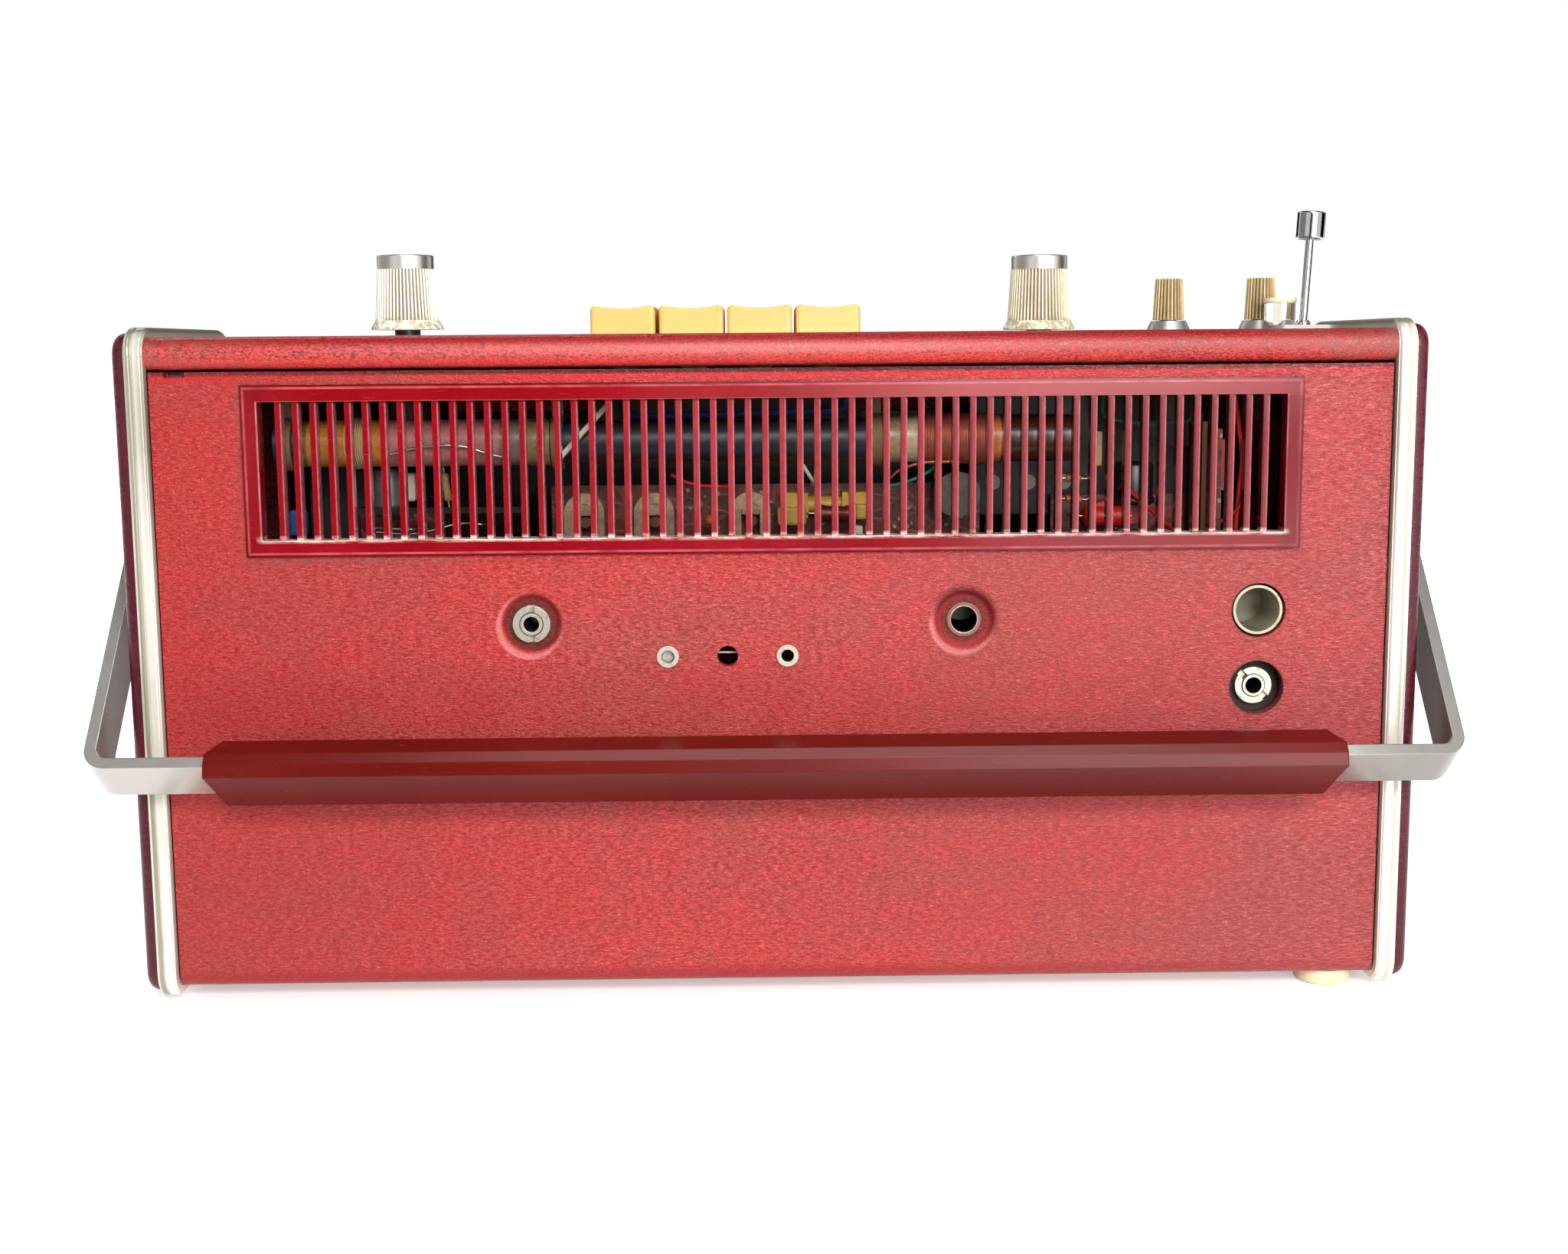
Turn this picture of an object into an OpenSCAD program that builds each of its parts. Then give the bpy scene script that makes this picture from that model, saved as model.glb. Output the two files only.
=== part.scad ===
// Portable transistor radio of the 1960s, seen and used from the back as well as the front.
// Millimetres. X runs along the radio, Y from the back cover to the dial, Z up from the floor.
// Depths are measured from the face of the back cover, and "drop" means a distance below the top.

/* [Cabinet] */
// Length of the cabinet between the two trim strips
body_w = 276.4; // [275:0.2:282]
// Depth from the back cover to the front face
body_d = 78; // [76:0.5:82]
// Height of the cabinet without its feet
body_h = 148.6; // [145:0.1:152]
// Thickness of the wooden boards
board_t = 6; // [5.5:0.1:6.5]
// Radius of the two front edges
front_r = 18; // [17:0.5:18.5]
// Radius of the two rear edges
rear_r = 4; // [3.8:0.1:4.6]
// Height of the rounded roll along the top rear edge
roll_h = 7.2; // [7:0.1:7.6]
// Overhang of the roll past the back cover
roll_out = 1.5; // [1:0.1:1.8]
// Diameter of a foot
foot_d = 13; // [11:0.5:14]
// Height of a foot
foot_h = 3.7; // [3:0.1:5]
// Distance of a foot's centre from the end of the cabinet
foot_in = 9.4; // [8:0.2:12]
// Distance of the left rear foot from the back cover
left_foot_y = 26; // [25.6:0.2:30]

/* [End cheeks and trims] */
// Thickness of a cheek outside its trim strip
cheek_t = 3.2; // [3:0.1:4]
// How far a cheek stands above the cabinet's faces
cheek_out = 1; // [0.6:0.1:1.4]
// Radius of a cheek's outer edge
cheek_round = 2.6; // [2:0.1:2.8]
// Width of a trim strip
trim_w = 4.2; // [4:0.1:5]
// How far a trim strip stands above the cabinet's faces
trim_out = 2.2; // [1.9:0.1:2.5]
// Depth of the seat of a trim strip
trim_sink = 0.8; // [0.6:0.1:1.2]

/* [Back cover and grille] */
// Thickness of the back cover
cover_t = 3; // [2.6:0.1:3.4]
// Gap between the back cover and what is round it
cover_gap = 0.5; // [0.3:0.1:0.8]
// Length of the grille's frame
grille_w = 235.4; // [232:0.2:240]
// Height of the grille's frame
grille_h = 38.1; // [36:0.1:39]
// Drop of the frame's upper edge
grille_drop = 10.6; // [10.2:0.1:12]
// Width of the grille's frame
grille_border = 3.7; // [3:0.1:4.5]
// How far the grille's frame stands out of the cover
grille_out = 0.8; // [0.5:0.1:1.2]
// Number of upright bars
bar_count = 58; // [50:1:60]
// Thickness of a bar
bar_t = 1.45; // [1.2:0.05:1.8]
// Depth of a bar
bar_d = 3; // [2.4:0.1:3.4]

/* [Sockets] */
// Place of the left jack along the radio
left_jack_x = -54.9; // [-60:0.1:-50]
// Place of the empty hole along the radio
hole_x = 42.5; // [38:0.1:46]
// Drop of the left jack and of the empty hole
jack_drop = 64.4; // [63:0.1:66]
// Bore of a jack
jack_bore = 3.5; // [3.5:0.05:3.7]
// Diameter of a jack's ring nut
nut_d = 8.4; // [8:0.1:9]
// Diameter of the pressed dimple round a socket
dimple_d = 14.2; // [13.6:0.1:15]
// Depth of a dimple
dimple_h = 1.4; // [1.2:0.1:1.6]
// Place of the right hand sockets along the radio
aerial_x = 109; // [106:0.1:110]
// Drop of the car aerial socket
aerial_drop = 62.8; // [62:0.1:64]
// Distance from the car aerial socket down to the jack below it
aerial_pitch = 17.7; // [17:0.1:19]
// Bore of the car aerial socket
aerial_bore = 9.9; // [9.6:0.1:10.1]
// Place of the middle of the three small holes
contact_x = -10.9; // [-13:0.1:-9]
// Drop of the three small holes
contact_drop = 72.1; // [71:0.1:74]
// Distance between the small holes
contact_pitch = 13.5; // [13:0.1:14]
// Bore of an eyelet
eyelet_bore = 2.85; // [2.7:0.05:3]

/* [Controls] */
// Distance of the row of controls from the back
control_y = 36; // [35:0.5:38]
// Place of the volume knob
volume_x = -86.7; // [-90:0.1:-84]
// Place of the tuning knob
tuning_x = 63.8; // [62:0.1:66]
// Height of a big knob
knob_h = 17.4; // [16:0.1:18]
// Diameter of a big knob's flange
knob_flange_d = 16.9; // [16.6:0.1:18]
// Diameter of a big knob's cap
knob_cap_d = 13.2; // [12.6:0.1:13.6]
// Ribs round a big knob
knob_ribs = 51; // [36:1:56]
// Diameter of the volume and tuning shafts
shaft_d = 6; // [5.6:0.1:6.2]
// Place of the left tone knob
left_tone_x = 94.9; // [93:0.1:96]
// Place of the right tone knob
right_tone_x = 116.9; // [115.5:0.1:117]
// Height of a tone knob
tone_h = 9.7; // [9:0.1:10.5]
// Diameter of a tone knob's foot
tone_d = 7.4; // [7:0.1:7.8]
// Number of keys
key_count = 4; // [3:1:4]
// Width of a key
key_w = 15.1; // [14.8:0.1:15.4]
// Distance from key to key
key_pitch = 15.95; // [15.8:0.05:16.4]
// Middle of the row of keys
keys_x = -10.9; // [-13:0.1:-10]
// Depth of a key from back to front
key_d = 22; // [18:0.5:24]
// Height of a key above the panel
key_h = 6.9; // [6:0.1:7.5]
// Travel of a key
key_travel = 4.5; // [3:0.1:5]

/* [Antenna] */
// Place of the antenna where it comes out
antenna_x = 123.8; // [122:0.1:124.5]
// Distance of the antenna from the back
antenna_y = 24; // [23:0.5:26]
// Lean of the antenna towards the right end
antenna_lean = 3; // [2:0.5:4]
// Diameter of the tube
antenna_tube_d = 6.4; // [6:0.1:6.8]
// Diameter of the middle section
antenna_mid_d = 3.4; // [3.2:0.1:3.6]
// Diameter of the thin rod
antenna_rod_d = 1.8; // [1.6:0.1:2]
// Length of the thin rod that shows as photographed
antenna_show = 18.6; // [16:0.1:19]
// Diameter of the tip
antenna_tip_d = 6.4; // [6:0.1:6.6]

/* [Handle] */
// Distance from a pivot to the outside of the crossbar
handle_len = 78.9; // [78:0.1:82]
// Width of the metal strip
strip_w = 12; // [11:0.1:13]
// Thickness of the metal strip
strip_t = 2.6; // [2.2:0.1:3]
// Outer bend radius of the strip
strip_r = 5; // [4:0.1:7]
// Gap between a cheek and an arm, filled by the washer
handle_gap = 3.2; // [2.6:0.1:3.6]
// Drop of the pivots
pivot_drop = 37.5; // [35:0.1:39]
// Tilt of the handle out of level as photographed
handle_angle = 48.4; // [46:0.1:49]
// Length of the grip
grip_l = 249; // [240:1:252]
// Diameter of the pivot pins
pivot_d = 5; // [4:0.1:6]

/* [Ferrite aerial and inside] */
// Diameter of the ferrite rod
rod_d = 9.4; // [9:0.1:9.8]
// Length of the ferrite rod
rod_l = 183; // [180:1:184]
// Middle of the ferrite rod
rod_x = -22.2; // [-23:0.1:-21]
// Drop of the ferrite rod
rod_drop = 24.3; // [24:0.1:25]
// Distance of the ferrite rod from the back
rod_y = 15; // [14.5:0.1:16]
// Turns of the left winding
left_turns = 5; // [4:1:6]
// Turns of the right winding
right_turns = 14; // [8:1:16]
// Diameter of the winding wire
wire_d = 0.5; // [0.3:0.05:0.55]
// Distance of the circuit board from the back
pcb_y = 28; // [27.5:0.1:28.5]
// Thickness of the circuit board
pcb_t = 1.6; // [1.2:0.1:2]
// Diameter of a battery
cell_d = 33; // [32:0.1:33.5]
// Length of a battery
cell_l = 61; // [60:0.1:61.5]

/* [Hidden] */
$fn = 48;

half_w = body_w / 2;
z_bottom = foot_h;
z_top = foot_h + body_h;
front_foot_y = body_d - front_r - foot_d / 2;
run_gap = 0.05;
seat_gap = 0.3;
eps = 0.01;
tone_shaft_d = 4;
stem_w = 6;
stem_d = 4;

// Handle
pivot_y = body_d / 2;
pivot_z = z_top - pivot_drop;
arm_in = half_w + trim_w + cheek_t + handle_gap;
arm_out = arm_in + strip_t;
head_t = 1.4;

// Outline of the grip across the strip: [outward along the arm, across the strip]
grip_half = strip_w / 2 + 1.8;
grip_base = handle_len - strip_t - 4.8;
grip_points = [[grip_base, 4.5], [grip_base + 5.1, grip_half], [grip_base + 7.8, grip_half],
    [grip_base + 10.3, grip_half - 1.5], [grip_base + 10.3, 1.5 - grip_half],
    [grip_base + 7.8, -grip_half], [grip_base + 5.1, -grip_half], [grip_base, -4.5]];
function swung_y(p) = pivot_y - cos(handle_angle) * p[0] + sin(handle_angle) * p[1];
rear_reach = -min([for (p = grip_points) swung_y(p)]);
mid_y = (body_d + trim_out - rear_reach) / 2;

// Inside
inner_front = body_d - board_t;
panel_t = 3;
panel_out = 1.5;
panel_y = body_d - panel_t;
flange_w = 2.5;
front_w = 250;
front_open_z = z_bottom + front_r + 1;
front_open_h = body_h - 2 * front_r - 2;
dial_w = 215;
dial_h = 14;
dial_z = z_top - front_r - 9.5;
sound_w = 230;
sound_lap = 2.5;
// Height of the sound opening, up to a strip of panel under the window
sound_h = dial_z - dial_h / 2 - 6.5 - front_open_z - 2 * sound_lap - seat_gap;
speaker_z = front_open_z + seat_gap + sound_lap + sound_h / 2;
speaker_x = -20;
speaker_d = sound_h + 2 * sound_lap - 1;
leaf_t = 1.5;
cloth_t = 0.4;
speaker_y = panel_y - leaf_t - cloth_t;
plate_t = 1.2;
plate_w = 268;
plate_d = 50;
chassis_z = z_top - roll_h - 6;
sheet_t = 1.2;

// Ferrite rod: its paper formers as [start, end] along X, and the wires wound on them
rod_z = z_top - rod_drop;
former_t = 0.6;
left_former = [-108, -51];
right_former = [26.3, 68.7];
left_winding_x = -97.4;
right_winding_x = 34.3;
winding_r = rod_d / 2 + former_t + 0.05 + wire_d / 2 + 0.08;
left_pitch = wire_d + 0.45;
right_pitch = wire_d + 0.55;
ring_count = 24;
ring_sides = 6;
holders_x = [-112, -50.6, 22];
holder_w = 2.6;

// Antenna and the clear post beside it
post_d = 7.2;
// Length of the antenna's outer tube, down to a clear space over the cells
antenna_tube_l = body_h - board_t - cell_d - 8.3;

// Controls and the pointer's drive
knob_lift = [1.6, 0.5];
knob_cap_h = 3.3;
knob_shaft_h = knob_h - knob_cap_h - 2;
flange_h = 2.1;
collar_h = 2.3;
drum_r = 20;
drum_h = 3;
drum_z = chassis_z + sheet_t + 0.8;
pointer_y = panel_y - leaf_t - 2.5;
rail_z = dial_z + dial_h / 2 + 6;
rail_y = pointer_y - 7;
chassis_front = rail_y - 5;
socket_shelf_y = cover_t + 1.4;

// Moves from cabinet depths to the part's frame, whose origin is under the middle of its box
module placed() {
    translate([0, -mid_y, 0]) children();
}

// Turns a shape drawn in (depth, height) and extruded by its width along X
module along_x() {
    rotate([90, 0, 90]) children();
}

// Points a shape's axis towards the back
module to_back() {
    rotate([90, 0, 0]) children();
}

module round_rect(size, r) {
    translate([r, 0]) square([size[0] - 2 * r, size[1]]);
    translate([0, r]) square([size[0], size[1] - 2 * r]);
    for (x = [r, size[0] - r], y = [r, size[1] - r])
        translate([x, y]) circle(r);
}

// End view of the cabinet in (depth, height), grown outward
module side_outline(grow = 0) {
    rf = front_r + grow;
    rr = rear_r + grow;
    low = z_bottom - grow;
    high = z_top + grow;
    front = body_d + grow;
    translate([-grow, low + rf]) square([front + grow, high - low - 2 * rf]);
    translate([rr - grow, low]) square([front + grow - rr - rf, high - low]);
    translate([-grow, low + rr]) square([2 * rf, high - low - 2 * rr]);
    for (z = [low + rr, high - rr])
        translate([rr - grow, z]) circle(rr);
    for (z = [low + rf, high - rf])
        translate([front - rf, z]) circle(rf, $fn = 96);
}

// Sweeps a profile (outward, along X) once round the end outline
module around_side() {
    span = body_d - front_r - rear_r;
    corners = [[body_d - front_r, z_top - front_r, 0, front_r], [rear_r, z_top - rear_r, 90, rear_r],
        [rear_r, z_bottom + rear_r, 180, rear_r], [body_d - front_r, z_bottom + front_r, 270, front_r]];
    sides = [[body_d, z_top - front_r, 0, body_h - 2 * front_r], [rear_r, z_top, 90, span],
        [0, z_bottom + rear_r, 180, body_h - 2 * rear_r], [body_d - front_r, z_bottom, 270, span]];
    for (c = corners)
        translate([c[0], c[1], 0]) rotate([0, 0, c[2]]) rotate_extrude(angle = 90, $fn = 96)
            translate([c[3], 0]) children();
    for (s = sides)
        translate([s[0], s[1], 0]) rotate([90, 0, s[2]]) linear_extrude(s[3]) children();
}

// Wooden shell: top, bottom and front boards in one bent profile, with the roll at the back
module shell_profile() {
    nose = roll_h / 2;
    difference() {
        side_outline();
        translate([-1, z_bottom + board_t])
            square([inner_front + 1 - (front_r - board_t), body_h - board_t - roll_h]);
        translate([0, z_bottom + front_r]) square([inner_front, body_h - 2 * front_r]);
        for (z = [z_bottom + front_r, z_top - front_r])
            translate([body_d - front_r, z]) circle(front_r - board_t, $fn = 96);
        translate([-1, z_bottom - 1]) square([cover_t + 1, body_h + 2]);
    }
    translate([nose - roll_out, z_top - nose]) circle(nose);
    translate([nose - roll_out, z_top - roll_h]) square([board_t + roll_out, roll_h]);
}

module front_opening(extra = 0) {
    translate([-front_w / 2 - extra, front_open_z - extra])
        round_rect([front_w + 2 * extra, front_open_h + 2 * extra], 4 + extra);
}

module panel_hole(extra = 0) {
    translate([-plate_w / 2 + extra, control_y - plate_d / 2 + extra])
        round_rect([plate_w - 2 * extra, plate_d - 2 * extra], 5);
}

module cabinet_shell() placed() color("firebrick") difference() {
    translate([-half_w, 0, 0]) along_x() linear_extrude(body_w) shell_profile();
    translate([0, body_d + 1, 0]) to_back() linear_extrude(board_t + 2) front_opening();
    translate([0, 0, z_top - plate_t]) linear_extrude(plate_t + 1) panel_hole();
    translate([0, 0, z_top - roll_h - 1]) linear_extrude(roll_h + 2) panel_hole(6);
}

module cheek() {
    translate([half_w, 0, 0]) along_x() {
        linear_extrude(trim_w) side_outline(-trim_sink);
        translate([0, 0, trim_w]) linear_extrude(cheek_t) side_outline(cheek_out - cheek_round);
        translate([0, 0, trim_w]) around_side() {
            translate([cheek_out - cheek_round - 0.4, 0]) square([0.4, cheek_t]);
            translate([cheek_out - cheek_round - 0.4, 0])
                square([cheek_round + 0.4, cheek_t - cheek_round]);
            intersection() {
                translate([cheek_out - cheek_round, cheek_t - cheek_round]) circle(cheek_round);
                translate([cheek_out - cheek_round, cheek_t - cheek_round]) square(cheek_round);
            }
        }
    }
}

module left_cheek() placed() color("#6E2433") mirror([1, 0, 0]) cheek();
module right_cheek() placed() color("#6E2433") cheek();

// Ribbed strip: a flat band towards the cover and a round bead towards the cheek
module trim() {
    bead_r = 0.75;
    edge_r = 0.5;
    low = trim_out - 0.6;
    translate([half_w, 0, 0]) along_x() around_side() {
        translate([-trim_sink, 0]) square([trim_sink + low, trim_w]);
        translate([0, 0.25]) round_rect([trim_out, trim_w - 2 * bead_r - 0.55], edge_r);
        translate([trim_out - bead_r, trim_w - bead_r - 0.15]) circle(bead_r);
    }
}

module left_trim() placed() color("#CFC8B0") mirror([1, 0, 0]) trim();
module right_trim() placed() color("#CFC8B0") trim();

module feet() placed() color("ivory")
    for (p = [[-1, left_foot_y], [1, foot_in], [-1, front_foot_y], [1, front_foot_y]])
        translate([p[0] * (half_w - foot_in), p[1], 0]) rotate_extrude() {
            square([foot_d / 2 - 1, foot_h]);
            translate([0, 1]) square([foot_d / 2, foot_h - 1]);
            translate([foot_d / 2 - 1, 1]) circle(1);
        }

// A pressed dimple: the rim rolls over, and a flat shelf carries the socket
module dimple() {
    shelf_r = nut_d / 2 + 1.3;
    steps = 6;
    rim = [for (i = [0:steps]) [shelf_r + (dimple_d / 2 - shelf_r) * i / steps,
        -dimple_h * (1 + cos(180 * i / steps)) / 2]];
    rotate_extrude() polygon(concat([[0, 1], [0, -dimple_h]], rim, [[dimple_d / 2, 1]]));
}

module back_cover() placed() color("crimson") difference() {
    cover_top = z_top - roll_h - cover_gap;
    translate([-half_w + cover_gap, 0, 0]) along_x() linear_extrude(body_w - 2 * cover_gap)
        intersection() {
            side_outline();
            square([cover_t, cover_top]);
        }
    translate([0, cover_t + 1, 0]) to_back() linear_extrude(cover_t + 2) {
        translate([-grille_w / 2 + 1.8, z_top - grille_drop - grille_h + 1.8])
            square([grille_w - 3.6, grille_h - 3.6]);
        for (x = [left_jack_x, hole_x])
            translate([x, z_top - jack_drop]) circle(3.35);
        for (z = [aerial_drop, aerial_drop + aerial_pitch])
            translate([aerial_x, z_top - z]) circle(6.15);
        for (i = [-1:1])
            translate([contact_x + i * contact_pitch, z_top - contact_drop])
                circle(i == 0 ? 2.35 : eyelet_bore / 2 + 0.5);
    }
    for (x = [left_jack_x, hole_x])
        translate([x, 0, z_top - jack_drop]) to_back() dimple();
    translate([-half_w + 4, -1, cover_top - 1.2]) cube([4.5, 3, 2]);
}

// Frame laid on the cover with a lip through its opening, and upright bars set back in it
module back_grille() placed() color("#A0142E") {
    low = z_top - grille_drop - grille_h;
    open_w = grille_w - 2 * grille_border;
    open_h = grille_h - 2 * grille_border;
    pitch = open_w / (bar_count + 1.3);
    lip = 2;
    translate([0, 0, low]) {
        to_back() linear_extrude(grille_out) difference() {
            translate([-grille_w / 2, 0]) square([grille_w, grille_h]);
            translate([-open_w / 2, grille_border]) square([open_w, open_h]);
        }
        translate([0, cover_t + 1, 0]) to_back() linear_extrude(cover_t + 1) difference() {
            translate([-grille_w / 2 + lip, lip]) square([grille_w - 2 * lip, grille_h - 2 * lip]);
            translate([-open_w / 2, grille_border]) square([open_w, open_h]);
        }
        translate([0, bar_d, 0]) to_back() linear_extrude(bar_d)
            for (i = [0:bar_count - 1])
                translate([(i - (bar_count - 1) / 2) * pitch - bar_t / 2, grille_border - 0.5])
                    square([bar_t, open_h + 1]);
    }
}

module front_panel() placed() color("#D9D5C8") difference() {
    union() {
        translate([0, body_d + panel_out, 0]) to_back() linear_extrude(panel_out)
            front_opening(flange_w);
        translate([0, body_d, 0]) to_back() linear_extrude(panel_t) front_opening(-seat_gap / 2);
    }
    translate([0, body_d + panel_out + 1, 0]) to_back() linear_extrude(panel_t + panel_out + 2) {
        translate([-dial_w / 2, dial_z - dial_h / 2]) round_rect([dial_w, dial_h], 2);
        translate([-sound_w / 2, speaker_z - sound_h / 2]) round_rect([sound_w, sound_h], 4);
    }
}

// Outline shared by the slotted plate and the cloth behind it
module sound_sheet() {
    translate([-sound_w / 2 - sound_lap, speaker_z - sound_h / 2 - sound_lap])
        square([sound_w + 2 * sound_lap, sound_h + 2 * sound_lap]);
}

module speaker_cloth() placed() color("#1B1A18")
    translate([0, panel_y - leaf_t, 0]) to_back() linear_extrude(cloth_t) sound_sheet();

// Rows of long slots pressed through a thin plate
module speaker_grille() placed() color("#B8B4A6") {
    rows = 19;
    slots = 6;
    pitch_z = (sound_h - 4) / rows;
    pitch_x = (sound_w - 6) / slots;
    translate([0, panel_y, 0]) to_back() linear_extrude(leaf_t) difference() {
        sound_sheet();
        for (r = [0:rows - 1], s = [0:slots - 1])
            translate([(s - slots / 2) * pitch_x + 1.5,
                speaker_z - sound_h / 2 + 2 + r * pitch_z + pitch_z * 0.25])
                square([pitch_x - 3, pitch_z * 0.5]);
    }
}

module dial_window() placed() color("lightcyan", 0.4)
    translate([0, panel_y, 0]) to_back() linear_extrude(leaf_t)
        translate([-dial_w / 2 - 1.2, dial_z - dial_h / 2 - 1.2])
            square([dial_w + 2.4, dial_h + 2.4]);

// Printed plate behind the window, with an ear at each end up to the panel
module dial_scale() placed() color("#20241F") {
    translate([0, pointer_y - 1, 0]) to_back() linear_extrude(sheet_t)
        translate([-dial_w / 2 - 4, dial_z - dial_h / 2 - 1]) square([dial_w + 8, dial_h + 2]);
    for (s = [-1, 1])
        translate([s * (dial_w / 2 + 3.2) - 0.8, pointer_y - 1 - eps, dial_z - dial_h / 2 - 1])
            cube([1.6, panel_y - pointer_y + 1 + eps, dial_h + 2]);
}

// Steel rod that the pointer rides on, bent down at both ends onto the dial plate
module pointer_rail() placed() color("silver") {
    reach = dial_w / 2 + 3;
    foot_y = pointer_y - 1 - sheet_t;
    translate([-reach, rail_y, rail_z]) along_x() linear_extrude(2 * reach) circle(1.1, $fn = 24);
    for (s = [-1, 1])
        translate([s * (reach - 0.6) - 0.6, rail_y - 1.1, dial_z - 2])
            cube([1.2, foot_y - rail_y + 1.1, rail_z - dial_z + 3]);
}

module dial_pointer() placed() color("orangered") {
    slot = 1.1 + 0.15;
    difference() {
        translate([-5, rail_y - 3, rail_z - 2.6]) cube([10, 6, 6]);
        translate([-6, rail_y, rail_z]) along_x() linear_extrude(12) circle(slot, $fn = 24);
    }
    arm_z = dial_z + dial_h / 2 + 2.2;
    translate([-0.5, rail_y + 3 - eps, arm_z]) cube([1, pointer_y + 0.2 - rail_y - 3, 1.7]);
    translate([-0.4, pointer_y - 0.5, dial_z - dial_h / 2 + 1])
        cube([0.8, 0.7, arm_z + 1.7 - dial_z + dial_h / 2 - 1]);
}

module speaker_frame() placed() color("dimgray") {
    r = speaker_d / 2;
    magnet_r = 20;
    translate([speaker_x, speaker_y, speaker_z]) to_back() difference() {
        rotate_extrude($fn = 96) polygon([[r - 7, 0], [r, 0], [r, 1.2], [r - 5, 1.2], [22, 17],
            [magnet_r, 17], [magnet_r, 30], [0, 30], [0, 17], [14, 17], [14, 15.8], [21, 15.8],
            [r - 7, 1.2]]);
        for (a = [45:90:315])
            rotate([0, 0, a]) translate([24, -9, 3]) cube([r - 34, 18, 20]);
    }
}

module speaker_cone() placed() color("#2A2723") {
    r = speaker_d / 2;
    translate([speaker_x, speaker_y - 0.3, speaker_z]) to_back()
        rotate_extrude($fn = 96) polygon([[0, 9], [9, 12], [r - 12, 1.2], [r - 7, 0.2],
            [r - 7, 0.9], [r - 12, 1.9], [10, 12.9], [9, 12.9], [0, 9.9]]);
}

module control_plate() placed() color("silver") difference() {
    translate([0, 0, z_top - plate_t]) linear_extrude(plate_t) difference() {
        panel_hole(0.1);
        for (x = [volume_x, tuning_x])
            translate([x, control_y]) circle(5);
        for (x = [left_tone_x, right_tone_x])
            translate([x, control_y]) circle(2.2);
        translate([key_x(0) - key_w / 2 - 0.3, control_y - key_d / 2 - 0.3])
            square([(key_count - 1) * key_pitch + key_w + 0.6, key_d + 0.6]);
    }
    antenna_axis() translate([0, 0, -6]) cylinder(d = antenna_tube_d + 0.6, h = 12);
}

function key_x(i) = keys_x + (i - (key_count - 1) / 2) * key_pitch;

// Steel sheet under the top board, its legs for the circuit board and the socket bracket
module chassis() placed() color("#8C8F88") difference() {
    leg_low = z_bottom + 48;
    leg_step = chassis_z - 14;
    leg_y = pcb_y + pcb_t;
    bracket_z = z_top - aerial_drop - aerial_pitch - 9;
    union() {
        translate([-half_w + 8, control_y - 19, chassis_z])
            cube([body_w - 16, chassis_front - control_y + 19, sheet_t]);
        for (x = [-half_w + 8, half_w - 22], y = [control_y - 19, chassis_front - 10])
            translate([x, y, chassis_z]) cube([14, 10, z_top - roll_h - chassis_z]);
        translate([-110, leg_y, leg_low]) cube([24, sheet_t, leg_step - leg_low]);
        translate([-110, leg_y, leg_step - eps]) cube([12, sheet_t, chassis_z - leg_step + 2 * eps]);
        translate([77, leg_y, leg_low]) cube([23.2, sheet_t, leg_step - leg_low]);
        translate([77, leg_y, leg_step - eps]) cube([10, sheet_t, chassis_z - leg_step + 2 * eps]);
        translate([aerial_x - 9, socket_shelf_y, bracket_z]) cube([18, sheet_t, aerial_pitch + 18]);
        translate([98.9, socket_shelf_y, bracket_z])
            cube([sheet_t, leg_y + sheet_t - socket_shelf_y, aerial_pitch + 18]);
        translate([-97.3, 19, rod_z - 16.6]) cube([40, 1.2, 1.4]);
        for (x = [-96.5, -88.5])
            translate([x, 19, rod_z - 16.6]) cube([2, leg_y + eps - 19, 1.4]);
    }
    for (x = [volume_x, tuning_x])
        translate([x, control_y, chassis_z - 1]) cylinder(d = 10.1, h = sheet_t + 2);
    for (x = [left_tone_x, right_tone_x])
        translate([x, control_y, chassis_z - 1]) cylinder(d = 5, h = sheet_t + 2);
    for (i = [0:key_count - 1])
        translate([key_x(i) - stem_w / 2 - 0.3, control_y - stem_d / 2 - 0.3, chassis_z - 1])
            cube([stem_w + 0.6, stem_d + 0.6, sheet_t + 2]);
    for (z = [aerial_drop, aerial_drop + aerial_pitch])
        translate([aerial_x, socket_shelf_y + 3, z_top - z]) to_back()
            cylinder(d = z == aerial_drop ? 11.3 : 5.4, h = 6);
    antenna_axis() translate([0, 0, -roll_h - 20]) cylinder(d = antenna_tube_d + 0.6, h = 30);
}

// Board across the legs, and a small upright one beside the right leg
module circuit_board() placed() color("#7A2E1A") {
    translate([0, pcb_y + pcb_t, 0]) to_back() linear_extrude(pcb_t) {
        translate([-98, z_bottom + 46]) square([196, 52]);
        translate([-52.7, z_bottom + 90]) square([101.7, z_top - 35.3 - z_bottom - 90]);
        translate([-98, z_bottom + 90]) square([20, rod_z - 16.8 - z_bottom - 90]);
        translate([66, z_bottom + 90]) square([32, z_top - 38.5 - z_bottom - 90]);
    }
    translate([100.2, 8, z_top - 48.3]) cube([pcb_t, pcb_y + pcb_t + sheet_t - 8, 26]);
}

// Arched adjusting coils that stand on the circuit board
module trimmer_coils() placed() color("#B79A70")
    for (x = [-44.6, -28.2, -5.5])
        translate([x, pcb_y, z_top - 41.5]) to_back() linear_extrude(5) difference() {
            union() {
                circle(4.7);
                translate([-4.7, -9]) square([9.4, 9]);
            }
            circle(2.2);
            translate([-2.2, -7]) square([4.4, 7]);
        }

// Two yellow blocks with a red tube between them, two red beads and a flat red block
module small_capacitors() placed() color("#C8632C") {
    for (x = [2, 16])
        translate([x, pcb_y - 6, z_top - 43]) cube([6, 6, 6]);
    translate([8, pcb_y - 3, z_top - 40]) along_x() cylinder(d = 4, h = 8);
    for (x = [77.5, 84])
        translate([x, pcb_y, z_top - 42.2]) to_back() cylinder(d = 5.4, h = 7);
    translate([100.2 + pcb_t, 12, z_top - 36.5]) cube([3.4, 12, 11.5]);
}

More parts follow.
